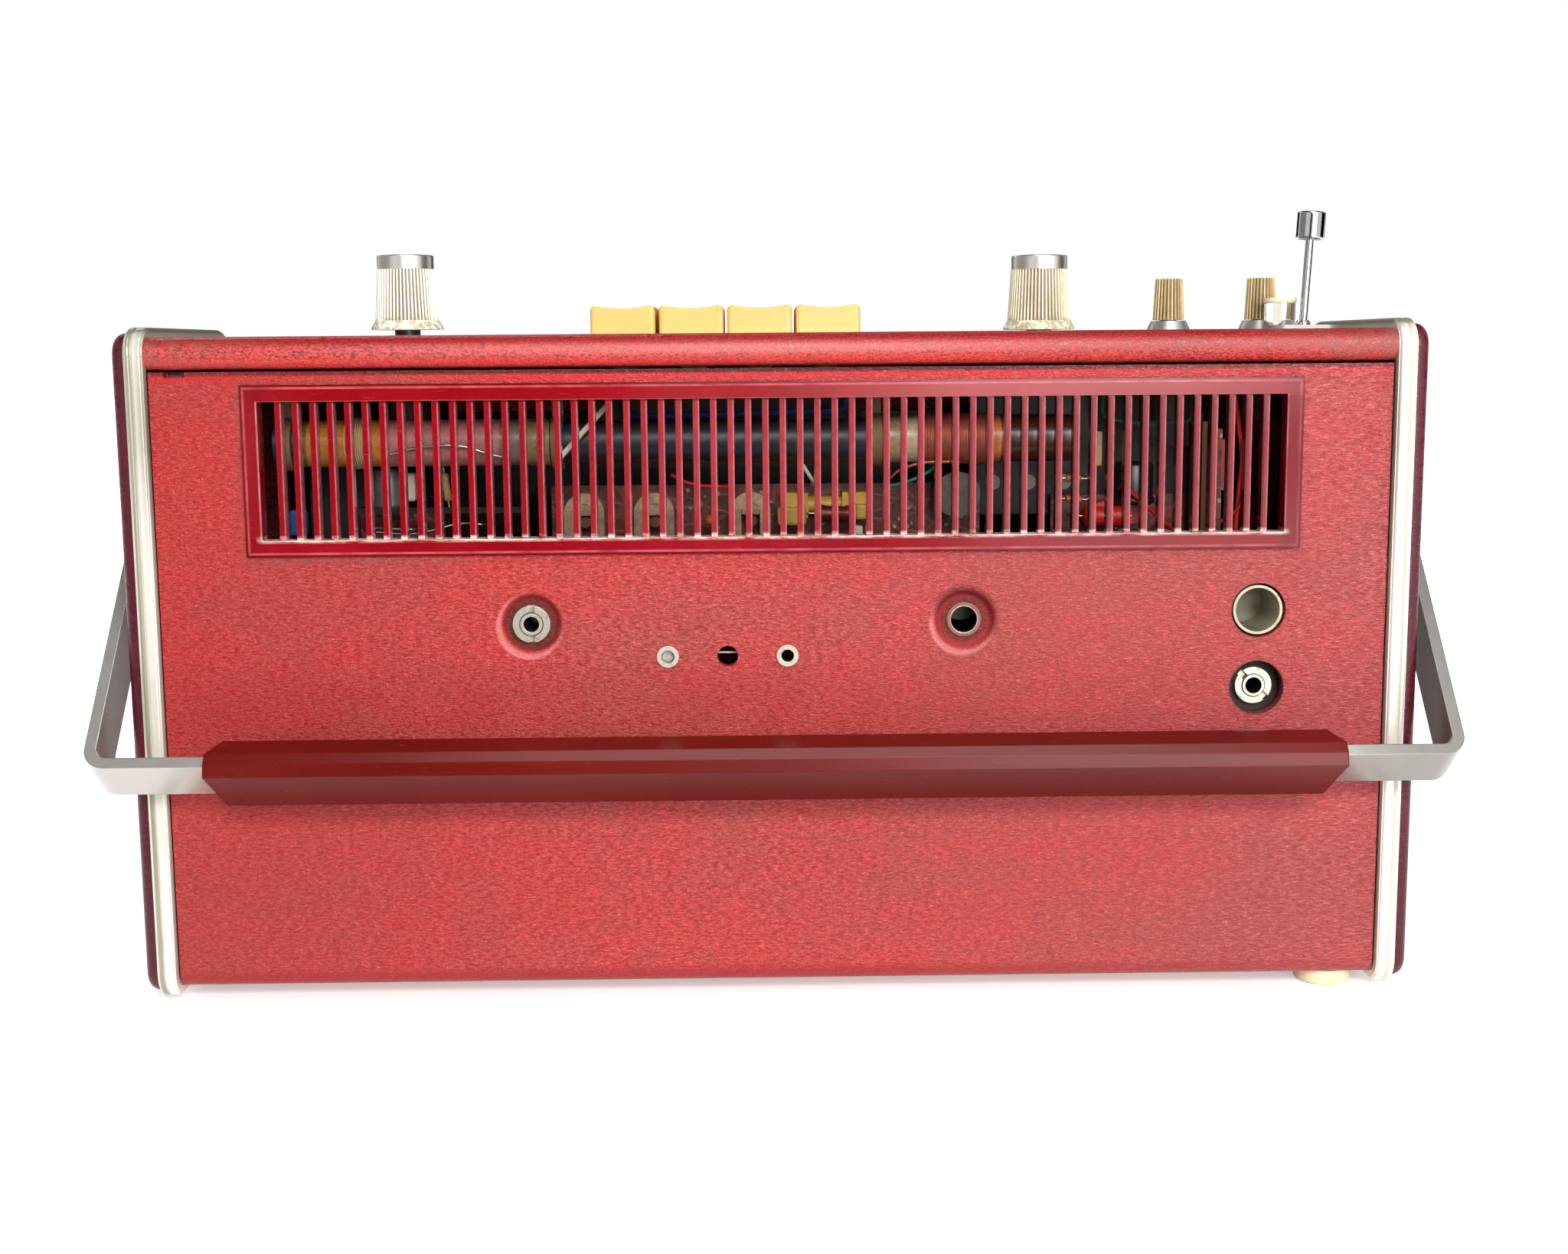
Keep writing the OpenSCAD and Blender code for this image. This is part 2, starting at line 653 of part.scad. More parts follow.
module can_capacitors() placed() color("#8A8A86") {
    translate([42.8, pcb_y, z_top - 37.5]) to_back() cylinder(d = 10.6, h = 9);
    translate([42.8, pcb_y, z_top - 60]) to_back() cylinder(d = 12, h = 16);
    translate([60, pcb_y, z_top - 60]) to_back() cylinder(d = 12, h = 16);
}

module ferrite_rod() placed() color("#3D3F42")
    translate([rod_x - rod_l / 2, rod_y, rod_z]) along_x() cylinder(d = rod_d, h = rod_l);

module former(span) {
    translate([span[0], rod_y, rod_z]) along_x() difference() {
        cylinder(d = rod_d + 2 * former_t + 0.1, h = span[1] - span[0]);
        translate([0, 0, -1]) cylinder(d = rod_d + 0.1, h = span[1] - span[0] + 2);
    }
}

module left_coil_former() placed() color("#A6928A") former(left_former);
module right_coil_former() placed() color("#6B5140") former(right_former);

// One unbroken wire wound round a former, from start along X
function winding_point(a, pitch) = [a / 360 * pitch, winding_r * cos(a), winding_r * sin(a)];
module winding(start, turns, pitch) {
    rings = turns * ring_count;
    points = [for (i = [0:rings], s = [0:ring_sides - 1])
        let (a = i * 360 / ring_count, b = s * 360 / ring_sides, r = winding_r + wire_d / 2 * cos(b))
        [a / 360 * pitch + wire_d / 2 * sin(b), r * cos(a), r * sin(a)]];
    sides = [for (i = [0:rings - 1], s = [0:ring_sides - 1])
        let (a = i * ring_sides + s, b = i * ring_sides + (s + 1) % ring_sides)
        each [[a, b, b + ring_sides], [a, b + ring_sides, a + ring_sides]]];
    ends = [for (s = [1:ring_sides - 2]) each
        [[0, s + 1, s], [rings * ring_sides, rings * ring_sides + s, rings * ring_sides + s + 1]]];
    translate([start, rod_y, rod_z]) polyhedron(points, concat(sides, ends));
}

winding_gap = min([for (a = [300:5:420]) min(
    norm(winding_point(0, left_pitch) - winding_point(a, left_pitch)),
    norm(winding_point(0, right_pitch) - winding_point(a, right_pitch)))]) - wire_d;
echo(least_winding_gap = winding_gap);

module left_winding() placed() color("#E5CFA0") winding(left_winding_x, left_turns, left_pitch);
module right_winding() placed() color("#B5623A") winding(right_winding_x, right_turns, right_pitch);

// Rings that hold the rod, on arms from the chassis sheet
module rod_holders() placed() color("#BFA67A")
    for (x = holders_x)
        translate([x, 0, 0]) difference() {
            union() {
                translate([0, rod_y, rod_z]) along_x() cylinder(d = rod_d + 3, h = holder_w);
                translate([0, rod_y - 1.5, rod_z]) cube([holder_w, 3, chassis_z - rod_z]);
                translate([0, rod_y - 1.5, chassis_z - 1.6])
                    cube([holder_w, control_y - 19 - rod_y + 6, 1.6]);
            }
            translate([-1, rod_y, rod_z]) along_x() cylinder(d = rod_d + 0.1, h = 6);
        }

// Box of the tuning capacitor, with three screw heads on its rear plate
module tuning_capacitor() placed() color("#A9ABA8") difference() {
    w = 34;
    h = 30;
    rear = control_y - 5;
    union() {
        translate([tuning_x - w / 2, rear, chassis_z - h]) cube([w, rail_y - 4 - rear, h]);
        for (x = [-11.5, -3, 5.5])
            translate([tuning_x + x, rear, chassis_z - 22.3]) to_back() difference() {
                cylinder(d = 3.6, h = 1.4);
                translate([-2, -0.3, 0.7]) cube([4, 0.6, 1]);
            }
    }
    translate([tuning_x, control_y, chassis_z - 12]) cylinder(d = shaft_d + 2 * run_gap, h = 14);
}

// Volume and tone controls hung under the chassis sheet
module potentiometers() placed() color("#9B8D6A") {
    for (p = [[volume_x, 20, 10, shaft_d], [left_tone_x, 15, 8, tone_shaft_d],
        [right_tone_x, 15, 8, tone_shaft_d]])
        translate([p[0], control_y, chassis_z - p[2]]) difference() {
            cylinder(d = p[1], h = p[2]);
            translate([0, 0, 2]) cylinder(d = p[3] + 2 * run_gap, h = p[2]);
        }
}

// Threaded bushings from the chassis through the control plate
module shaft_bushings() placed() color("#5B5345")
    for (i = [0, 1])
        translate([[volume_x, tuning_x][i], control_y, 0]) difference() {
            union() {
                translate([0, 0, i == 0 ? chassis_z : drum_z + drum_h + 0.6])
                    cylinder(d = 9.6, h = z_top + 0.3 - (i == 0 ? chassis_z : drum_z + drum_h + 0.6));
                translate([0, 0, z_top - roll_h + 0.6]) cylinder(d = 13, h = roll_h - plate_t - 0.6);
            }
            cylinder(d = shaft_d + 2 * run_gap, h = z_top + 1);
        }

module tone_collars() placed() color("silver") difference() {
    for (x = [left_tone_x, right_tone_x])
        translate([x, control_y, z_top]) cylinder(d1 = 10.4, d2 = 8.3, h = collar_h);
    for (x = [left_tone_x, right_tone_x])
        translate([x, control_y, z_top - 1]) cylinder(d = tone_shaft_d + 0.4, h = collar_h + 2);
}

// Ribbed skirt: a star outline drawn in towards the cap
module ribs(count, r_low, r_high, depth, h) {
    points = [for (i = [0:4 * count - 1]) let (a = 90 / count * i, k = i % 4)
        (k < 2 ? r_low : r_low - depth) * [cos(a), sin(a)]];
    linear_extrude(h, scale = r_high / r_low) polygon(points);
}

module big_knob(x, lift) {
    flange_r = knob_flange_d / 2;
    cap_r = knob_cap_d / 2;
    skirt_h = knob_h - knob_cap_h - flange_h;
    translate([x, control_y, z_top + lift]) {
        rotate_extrude() polygon([[0, 0], [flange_r, 0], [flange_r, 0.5], [flange_r - 0.9, flange_h],
            [0, flange_h]]);
        translate([0, 0, flange_h - eps]) ribs(knob_ribs, cap_r + 0.85, cap_r + 0.1, 0.5, skirt_h);
    }
}

module knob_cap(x, lift) {
    translate([x, control_y, z_top + lift + knob_h - knob_cap_h - eps]) rotate_extrude() {
        square([knob_cap_d / 2 - 0.4, knob_cap_h]);
        square([knob_cap_d / 2, knob_cap_h - 0.4]);
        translate([knob_cap_d / 2 - 0.4, knob_cap_h - 0.4]) circle(0.4);
    }
}

module volume_knob() placed() color("ivory") {
    big_knob(volume_x, knob_lift[0]);
    translate([volume_x, control_y, chassis_z - 7])
        cylinder(d = shaft_d, h = z_top - chassis_z + knob_lift[0] + knob_shaft_h + 7);
}
module volume_cap() placed() color("silver") knob_cap(volume_x, knob_lift[0]);
module tuning_knob() placed() color("ivory") difference() {
    big_knob(tuning_x, knob_lift[1]);
    translate([tuning_x, control_y, z_top]) cylinder(d = shaft_d, h = knob_lift[1] + knob_shaft_h);
}
module tuning_cap() placed() color("silver") knob_cap(tuning_x, knob_lift[1]);

// Shaft with the cord drum that drives the pointer
module tuning_drum() placed() color("#C9C2A8") {
    translate([tuning_x, control_y, chassis_z - 11])
        cylinder(d = shaft_d, h = z_top - chassis_z + knob_lift[1] + knob_shaft_h + 11);
    translate([tuning_x, control_y, drum_z]) rotate_extrude() polygon([[0, 0], [drum_r + 0.8, 0],
        [drum_r + 0.8, 0.6], [drum_r - 0.4, 1], [drum_r - 0.4, drum_h - 1],
        [drum_r + 0.8, drum_h - 0.6], [drum_r + 0.8, drum_h], [0, drum_h]]);
}

module tone_knob(x) {
    translate([x, control_y, z_top + collar_h + 0.2])
        ribs(24, tone_d / 2, tone_d / 2 - 0.5, 0.35, tone_h);
    translate([x, control_y, chassis_z - 5])
        cylinder(d = tone_shaft_d, h = z_top + collar_h + 2 - chassis_z + 5);
}
module left_tone_knob() placed() color("#A88E5A") tone_knob(left_tone_x);
module right_tone_knob() placed() color("#A88E5A") tone_knob(right_tone_x);

// Piano key: a hollowed top, rounded upright edges and a stem down into the switch
module key(i) {
    dip = 0.9;
    corner = 1.2;
    dish_r = ((key_w / 2) ^ 2 + dip ^ 2) / (2 * dip);
    low = z_top - plate_t - key_travel - 1;
    translate([key_x(i), control_y, 0]) {
        intersection() {
            translate([-key_w / 2, -key_d / 2, low]) linear_extrude(z_top + key_h - low)
                round_rect([key_w, key_d], 1);
            translate([0, key_d, 0]) to_back() linear_extrude(2 * key_d)
                offset(r = corner) offset(delta = -corner) difference() {
                    translate([-key_w / 2, low]) square([key_w, z_top + key_h - low]);
                    translate([0, z_top + key_h - dip + dish_r]) circle(dish_r, $fn = 96);
                }
        }
        translate([-stem_w / 2, -stem_d / 2, chassis_z - 9])
            cube([stem_w, stem_d, low - chassis_z + 9 + eps]);
    }
}
module key_1() placed() color("#F2D98C") key(0);
module key_2() placed() color("#F2D98C") key(1);
module key_3() placed() color("#F2D98C") key(2);
module key_4() placed() color("#F2D98C") key(min(3, key_count - 1));

module key_switch() placed() color("#3B3A36") difference() {
    translate([keys_x - key_count * key_pitch / 2, control_y - 8, chassis_z - 18])
        cube([key_count * key_pitch, 16, 18]);
    for (i = [0:key_count - 1])
        translate([key_x(i) - stem_w / 2 - 0.2, control_y - stem_d / 2 - 0.2, chassis_z - 16])
            cube([stem_w + 0.4, stem_d + 0.4, 20]);
}

module battery_tray() placed() color("#4A3A2E") difference() {
    translate([-2 * cell_l - 3, cover_t + 2.5, z_bottom + board_t])
        cube([4 * cell_l + 6, cell_d + 4, cell_d / 2]);
    translate([-2 * cell_l - 1, cover_t + 4.5 + cell_d / 2, z_bottom + board_t + 1.5 + cell_d / 2])
        along_x() cylinder(d = cell_d + 0.4, h = 4 * cell_l + 2);
}

module batteries() placed() color("#C8A24A")
    for (i = [0:3])
        translate([(i - 2) * cell_l, cover_t + 4.5 + cell_d / 2, z_bottom + board_t + 1.3 + cell_d / 2])
            along_x() {
                cylinder(d = cell_d, h = cell_l - 2);
                cylinder(d = 9, h = cell_l - 0.2);
            }

// Chassis jack: slotted ring nut, threaded bush and a bored body behind
module jack(x, drop, face_y, wall, slot_turn) {
    bush_d = 5.1;
    translate([x, face_y, z_top - drop]) to_back() difference() {
        union() {
            cylinder(d = nut_d, h = 1.5);
            cylinder(d = bush_d, h = 1.8);
            translate([0, 0, -3]) cylinder(d = bush_d, h = 3);
            translate([-5.5, -5.5, -14]) cube([11, 11, 14 - wall - 0.1]);
        }
        translate([0, 0, -12]) cylinder(d = jack_bore, h = 15);
        rotate([0, 0, slot_turn]) for (s = [-1, 1])
            translate([-0.7, s > 0 ? bush_d / 2 : -nut_d / 2 - 1, 0.3])
                cube([1.4, nut_d / 2 + 1 - bush_d / 2, 2]);
    }
}

module left_jack() placed() color("#D8D2C4")
    jack(left_jack_x, jack_drop, dimple_h, cover_t - dimple_h, 0);
module right_jack() placed() color("#D8D2C4")
    jack(aerial_x, aerial_drop + aerial_pitch, socket_shelf_y, sheet_t, 45);

module aerial_socket() placed() color("#CFCBC0")
    translate([aerial_x, 0.6, z_top - aerial_drop]) to_back() translate([0, 0, -18]) difference() {
        cylinder(d = 11.2, h = 18);
        translate([0, 0, 2]) cylinder(d = aerial_bore, h = 17);
        translate([-2.2, 2, -1]) cylinder(d = 2.4, h = 4);
    }

// Riveted eyelets, the rim of the empty hole, and the bare wire that joins the eyelets
module cover_eyelets() placed() color("#C9C5BA") {
    eyelet_r = eyelet_bore / 2;
    for (s = [-1, 1])
        translate([contact_x + s * contact_pitch, 0, z_top - contact_drop]) to_back() difference() {
            union() {
                cylinder(r = eyelet_r + 1.05, h = 0.4);
                translate([0, 0, -cover_t - 0.4]) cylinder(r = eyelet_r + 0.45, h = cover_t + 0.5);
                translate([0, 0, -cover_t - 0.5]) cylinder(r = eyelet_r + 1.05, h = 0.5);
                if (s < 0) translate([0, 0, -cover_t]) cylinder(r = eyelet_r + 0.2, h = 1.6);
            }
            translate([0, 0, s < 0 ? -cover_t + 1.6 : -cover_t - 1])
                cylinder(r = eyelet_r, h = cover_t + 2);
        }
    translate([contact_x - contact_pitch + 2, cover_t + 0.3, z_top - contact_drop + 0.4]) along_x()
        cylinder(d = 0.5, h = 2 * contact_pitch - 4, $fn = 16);
    translate([hole_x, dimple_h, z_top - jack_drop]) to_back() difference() {
        union() {
            cylinder(r = 3.9, h = 0.4);
            translate([0, 0, dimple_h - cover_t]) cylinder(r = 3.3, h = cover_t - dimple_h);
        }
        translate([0, 0, -cover_t]) cylinder(r = 2.95, h = cover_t + 2);
    }
}

// Axis of the antenna, which leans towards the right end; its origin is level with the top
module antenna_axis() {
    translate([antenna_x, antenna_y, z_top]) rotate([0, antenna_lean, 0]) children();
}

module antenna_plate() placed() color("silver") difference() {
    translate([antenna_x - 8.4, antenna_y - 4.1, z_top]) linear_extrude(1) round_rect([16.8, 11], 3.5);
    antenna_axis() translate([0, 0, -3]) cylinder(d = antenna_mid_d + 0.3, h = 8);
}

module clear_post() placed() color("white", 0.4)
    translate([antenna_x - 4.6, antenna_y + 3.2, z_top + 1]) {
        cylinder(d = post_d, h = 5.5);
        translate([0, 0, 5.5 - eps]) cylinder(d = post_d + 0.4, h = 0.8);
    }

module antenna_tube() placed() color("silver") difference() {
    antenna_axis() translate([0, 0, -antenna_tube_l]) difference() {
        cylinder(d = antenna_tube_d, h = antenna_tube_l);
        translate([0, 0, 1.5]) cylinder(d = antenna_mid_d + 0.3, h = antenna_tube_l);
    }
    translate([antenna_x - 20, antenna_y - 20, z_top]) cube([40, 40, 10]);
}

module antenna_middle() placed() color("silver") antenna_axis()
    translate([0, 0, 2 - antenna_tube_l]) difference() {
        union() {
            cylinder(d = antenna_mid_d, h = antenna_tube_l - 0.4);
            translate([0, 0, antenna_tube_l - 0.9]) cylinder(d1 = antenna_mid_d, d2 = 2.7, h = 1);
        }
        translate([0, 0, 1.2]) cylinder(d = antenna_rod_d + 0.2, h = antenna_tube_l + 1);
    }

module antenna_tip() placed() color("silver") antenna_axis() {
    stem = antenna_show + 2;
    hidden = antenna_tube_l - 26;
    translate([0, 0, -hidden]) cylinder(d = antenna_rod_d, h = hidden + stem + 1);
    translate([0, 0, stem]) rotate_extrude() {
        square([antenna_tip_d / 2 - 0.5, 6.3]);
        translate([0, 0.5]) square([antenna_tip_d / 2, 5.3]);
        for (z = [0.5, 5.8])
            translate([antenna_tip_d / 2 - 0.5, z]) circle(0.5);
    }
}

function unit(v) = v / norm(v);

// Row of points with each bend rounded off
function eased(p, r) = [p[0], for (i = [1:len(p) - 2]) let (
    from = p[i] + unit(p[i - 1] - p[i]) * r, to = p[i] + unit(p[i + 1] - p[i]) * r)
    each [from, (from + 2 * p[i] + to) / 4, to], p[len(p) - 1]];

// A lead laid along a row of points; across is any direction that no stretch of it runs in
module lead(corners, d, across) {
    p = eased(corners, 1.2 * d);
    last = len(p) - 1;
    n = 8;
    points = [for (i = [0:last], s = [0:n - 1]) let (
        t = unit(p[min(i + 1, last)] - p[max(i - 1, 0)]),
        v = unit(cross(t, across)), u = cross(v, t), a = s * 360 / n)
        p[i] + d / 2 * (cos(a) * u + sin(a) * v)];
    sides = [for (i = [0:last - 1], s = [0:n - 1]) let (a = i * n + s, b = i * n + (s + 1) % n)
        each [[b, a, a + n], [b, a + n, b + n]]];
    ends = [for (s = [1:n - 2]) each [[0, s, s + 1], [last * n, last * n + s + 1, last * n + s]]];
    polyhedron(points, concat(sides, ends));
}

// Leads from the chassis sheet: blue above the rod, cream to the coil, green, red to the socket
module hookup_wires() placed() color("#2B4F9E") {
    top = chassis_z;
    level = [0, 1, 0];
    low = top - 1.5;
    lead([[-33.7, 20, top], [-33.7, 20, top - 5.7], [-8.9, 20, top - 5.3], [16.9, 20, top - 4.6],
        [16.9, 20, top]], 1.4, level);
    lead([[-38, 18.2, top], [-38, 18.2, low], [-38, 9, top - 3.1], [-48, 8.2, rod_z - 2.8],
        [-49.3, 9.2, rod_z - 4.3]], 1.3, [1, 0, -1]);
    lead([[76.9, 22, top], [76.9, 22, top - 6.8], [87.7, 22, top - 8.6], [98, 22, top - 7.7],
        [98, 22, top]], 1, level);
    lead([[80.8, pcb_y, z_top - 39.3], [80.8, 16, z_top - 35.3], [92.3, 16, z_top - 45.6],
        [92.3, pcb_y, z_top - 45.6]], 1.1, [1, 0, 1]);
    lead([[106.9, 18, top], [106.9, 18, low], [108.9, 17.5, z_top - 29.7], [107.5, 17, z_top - 45.7],
        [aerial_x, 16.5, z_top - aerial_drop + 6.3]], 1.1, level);
}

// Bail: a flat strip bent twice, with round ends on the pivots
module handle_axes() {
    translate([0, pivot_y, pivot_z]) rotate([180 + handle_angle, 0, 0]) children();
}

module bail_outline(inset, r) {
    w = arm_out - inset;
    reach = handle_len - inset;
    translate([-w, -20]) square([2 * w, reach + 20 - r]);
    translate([-w + r, 0]) square([2 * w - 2 * r, reach]);
    for (s = [-1, 1])
        translate([s * (w - r), reach - r]) circle(r);
}

module handle_bail() placed() color("#9A979B") handle_axes() difference() {
    intersection() {
        translate([0, 0, -strip_w / 2]) linear_extrude(strip_w) difference() {
            bail_outline(0, strip_r);
            bail_outline(strip_t, strip_r - strip_t);
        }
        translate([-arm_out - 1, 0, 0]) along_x() linear_extrude(2 * arm_out + 2) {
            circle(d = strip_w);
            translate([0, -strip_w / 2]) square([handle_len + 1, strip_w]);
        }
    }
    translate([-arm_out - 1, 0, 0]) along_x()
        cylinder(d = pivot_d + 2 * run_gap, h = 2 * arm_out + 2);
}

// Moulded grip of eight flats round the strip; its ends slant below the three rear flats
module handle_grip() placed() color("#6E1B18") handle_axes() difference() {
    bevel = 2.7;
    rear_flats = [for (i = [4:6]) grip_points[i]];
    hull() {
        translate([-grip_l / 2, 0, 0]) along_x() linear_extrude(grip_l) polygon(rear_flats);
        translate([bevel - grip_l / 2, 0, 0]) along_x()
            linear_extrude(grip_l - 2 * bevel) polygon(grip_points);
    }
    translate([-grip_l / 2 - 1, handle_len - strip_t - 0.02, -strip_w / 2 - 0.02])
        cube([grip_l + 2, strip_t + 0.04, strip_w + 0.04]);
}

// Pivot pins with their washers against the cheeks and domed heads outside the arms
module handle_pivots() placed() color("silver")
    for (s = [0, 1])
        mirror([s, 0, 0]) translate([half_w + trim_w + cheek_t, pivot_y, pivot_z]) along_x()
            rotate_extrude() polygon([[0, 0], [6.5, 0], [6.5, handle_gap - 0.1],
                [pivot_d / 2, handle_gap - 0.1], [pivot_d / 2, handle_gap + strip_t + 0.1],
                [4.6, handle_gap + strip_t + 0.1], [4.2, handle_gap + strip_t + 0.8],
                [2.6, handle_gap + strip_t + head_t], [0, handle_gap + strip_t + head_t]]);

cabinet_shell();
left_cheek();
right_cheek();
left_trim();
right_trim();
back_cover();
back_grille();
front_panel();
dial_scale();
dial_window();
speaker_grille();
control_plate();
feet();
speaker_cloth();
speaker_frame();
speaker_cone();
chassis();
circuit_board();
trimmer_coils();
small_capacitors();
can_capacitors();
ferrite_rod();
left_coil_former();
right_coil_former();
left_winding();
right_winding();
rod_holders();
tuning_capacitor();
potentiometers();
key_switch();
battery_tray();
batteries();
left_jack();
right_jack();
aerial_socket();
cover_eyelets();
antenna_plate();
clear_post();
antenna_tube();
hookup_wires();
shaft_bushings();
tone_collars();
handle_pivots();
pointer_rail();
handle_bail();
handle_grip();
volume_knob();
volume_cap();
tuning_knob();
tuning_cap();
tuning_drum();
dial_pointer();
left_tone_knob();
right_tone_knob();
key_1();
key_2();
key_3();
key_4();
antenna_middle();
antenna_tip();
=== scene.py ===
"""Looks of the portable transistor radio, seen from its back as in the photograph.

Lengths in this script are in millimetres in the cabinet's own frame, where a comment doesn't say
metres: X along the radio, Y from the back cover's face towards the front, Z up from the floor.
at() turns them into scene metres.
"""

import math

import bmesh
import bpy
from mathutils import Matrix, Vector


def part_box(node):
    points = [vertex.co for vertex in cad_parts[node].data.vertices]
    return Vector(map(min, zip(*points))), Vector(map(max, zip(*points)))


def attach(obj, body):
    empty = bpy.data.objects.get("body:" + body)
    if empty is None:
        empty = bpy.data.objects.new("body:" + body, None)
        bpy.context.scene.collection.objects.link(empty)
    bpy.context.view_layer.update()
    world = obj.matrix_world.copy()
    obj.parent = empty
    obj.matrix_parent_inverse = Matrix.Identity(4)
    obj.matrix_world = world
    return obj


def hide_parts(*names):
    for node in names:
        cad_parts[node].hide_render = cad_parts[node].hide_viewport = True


MM = 0.001

# Centres of the openings in the back cover, as (x, z)
LEFT_JACK = (-54.9, 87.9)
EMPTY_HOLE = (42.5, 87.9)
AERIAL_SOCKET = (109, 89.5)
RIGHT_JACK = (109, 71.8)
CONTACT_EYELET = (2.6, 80.2)
RIVET = (-24.4, 80.2)

# The louvred frame's outline and opening, as (half width, lower edge, upper edge), and its bars
FRAME_OUTLINE = (117.7, 103.6, 141.7)
FRAME_OPENING = (114.0, 107.5, 137.7)
BAR_PITCH = 228.0 / 59.3

# Where the knobs stand on the control plate
SHAFT_Y = 36
VOLUME_X = -86.7
TUNING_X = 63.8
LEFT_TONE_X = 94.9
RIGHT_TONE_X = 116.9
PLATE_TOP = 152.3


def at(x, y, z):
    """A point of the cabinet's frame, in scene metres."""
    return Vector((x * MM, BACK + y * MM, z * MM))


def from_cover(x, y, z):
    """A point of the cabinet's frame given in metres, in scene metres."""
    return Vector((x, BACK + y, z))


def linear(code):
    """Linear colour of a hex code such as "#C8443F"."""
    parts = [int(code[i:i + 2], 16) / 255 for i in (1, 3, 5)]
    return [c / 12.92 if c <= 0.04045 else ((c + 0.055) / 1.055) ** 2.4 for c in parts] + [1]


class Nodes:
    """The node calls that the finishes, the floor and the sky share."""

    def __init__(self, tree):
        self.tree = tree

    def join(self, value, socket):
        """Gives a socket a value or another node's output."""
        if isinstance(value, bpy.types.NodeSocket):
            self.tree.links.new(value, socket)
        else:
            socket.default_value = value

    def node(self, kind, inputs=None, **settings):
        n = self.tree.nodes.new(kind)
        for key, value in settings.items():
            setattr(n, key, value)
        for key, value in (inputs or {}).items():
            self.join(value, n.inputs[key])
        return n

    def math(self, operation, a, b=0.0, clamp=False):
        return self.node("ShaderNodeMath", {0: a, 1: b}, operation=operation, use_clamp=clamp).outputs[0]

    def product(self, *values):
        result = values[0]
        for value in values[1:]:
            result = self.math("MULTIPLY", result, value)
        return result

    def plus(self, base, value, factor):
        """The base and factor times the value."""
        return self.math("ADD", base, self.math("MULTIPLY", value, factor))

    def less(self, mask, other):
        """One mask without the other."""
        return self.math("SUBTRACT", mask, other, True)

    def fade(self, value, start, end, first=0.0, last=1.0, **settings):
        """first where the value is at the start, last where it is at the end, steady in between."""
        inputs = {"Value": value, 1: start, 2: end, 3: first, 4: last}
        return self.node("ShaderNodeMapRange", inputs, **settings).outputs[0]

    def seen(self):
        """1 for what the camera sees, also in a mirror or through glass, 0 for light on the radio."""
        rays = self.node("ShaderNodeLightPath").outputs
        seen = self.math("ADD", rays["Is Camera Ray"], rays["Is Glossy Ray"], True)
        return self.math("ADD", seen, rays["Is Transmission Ray"], True)


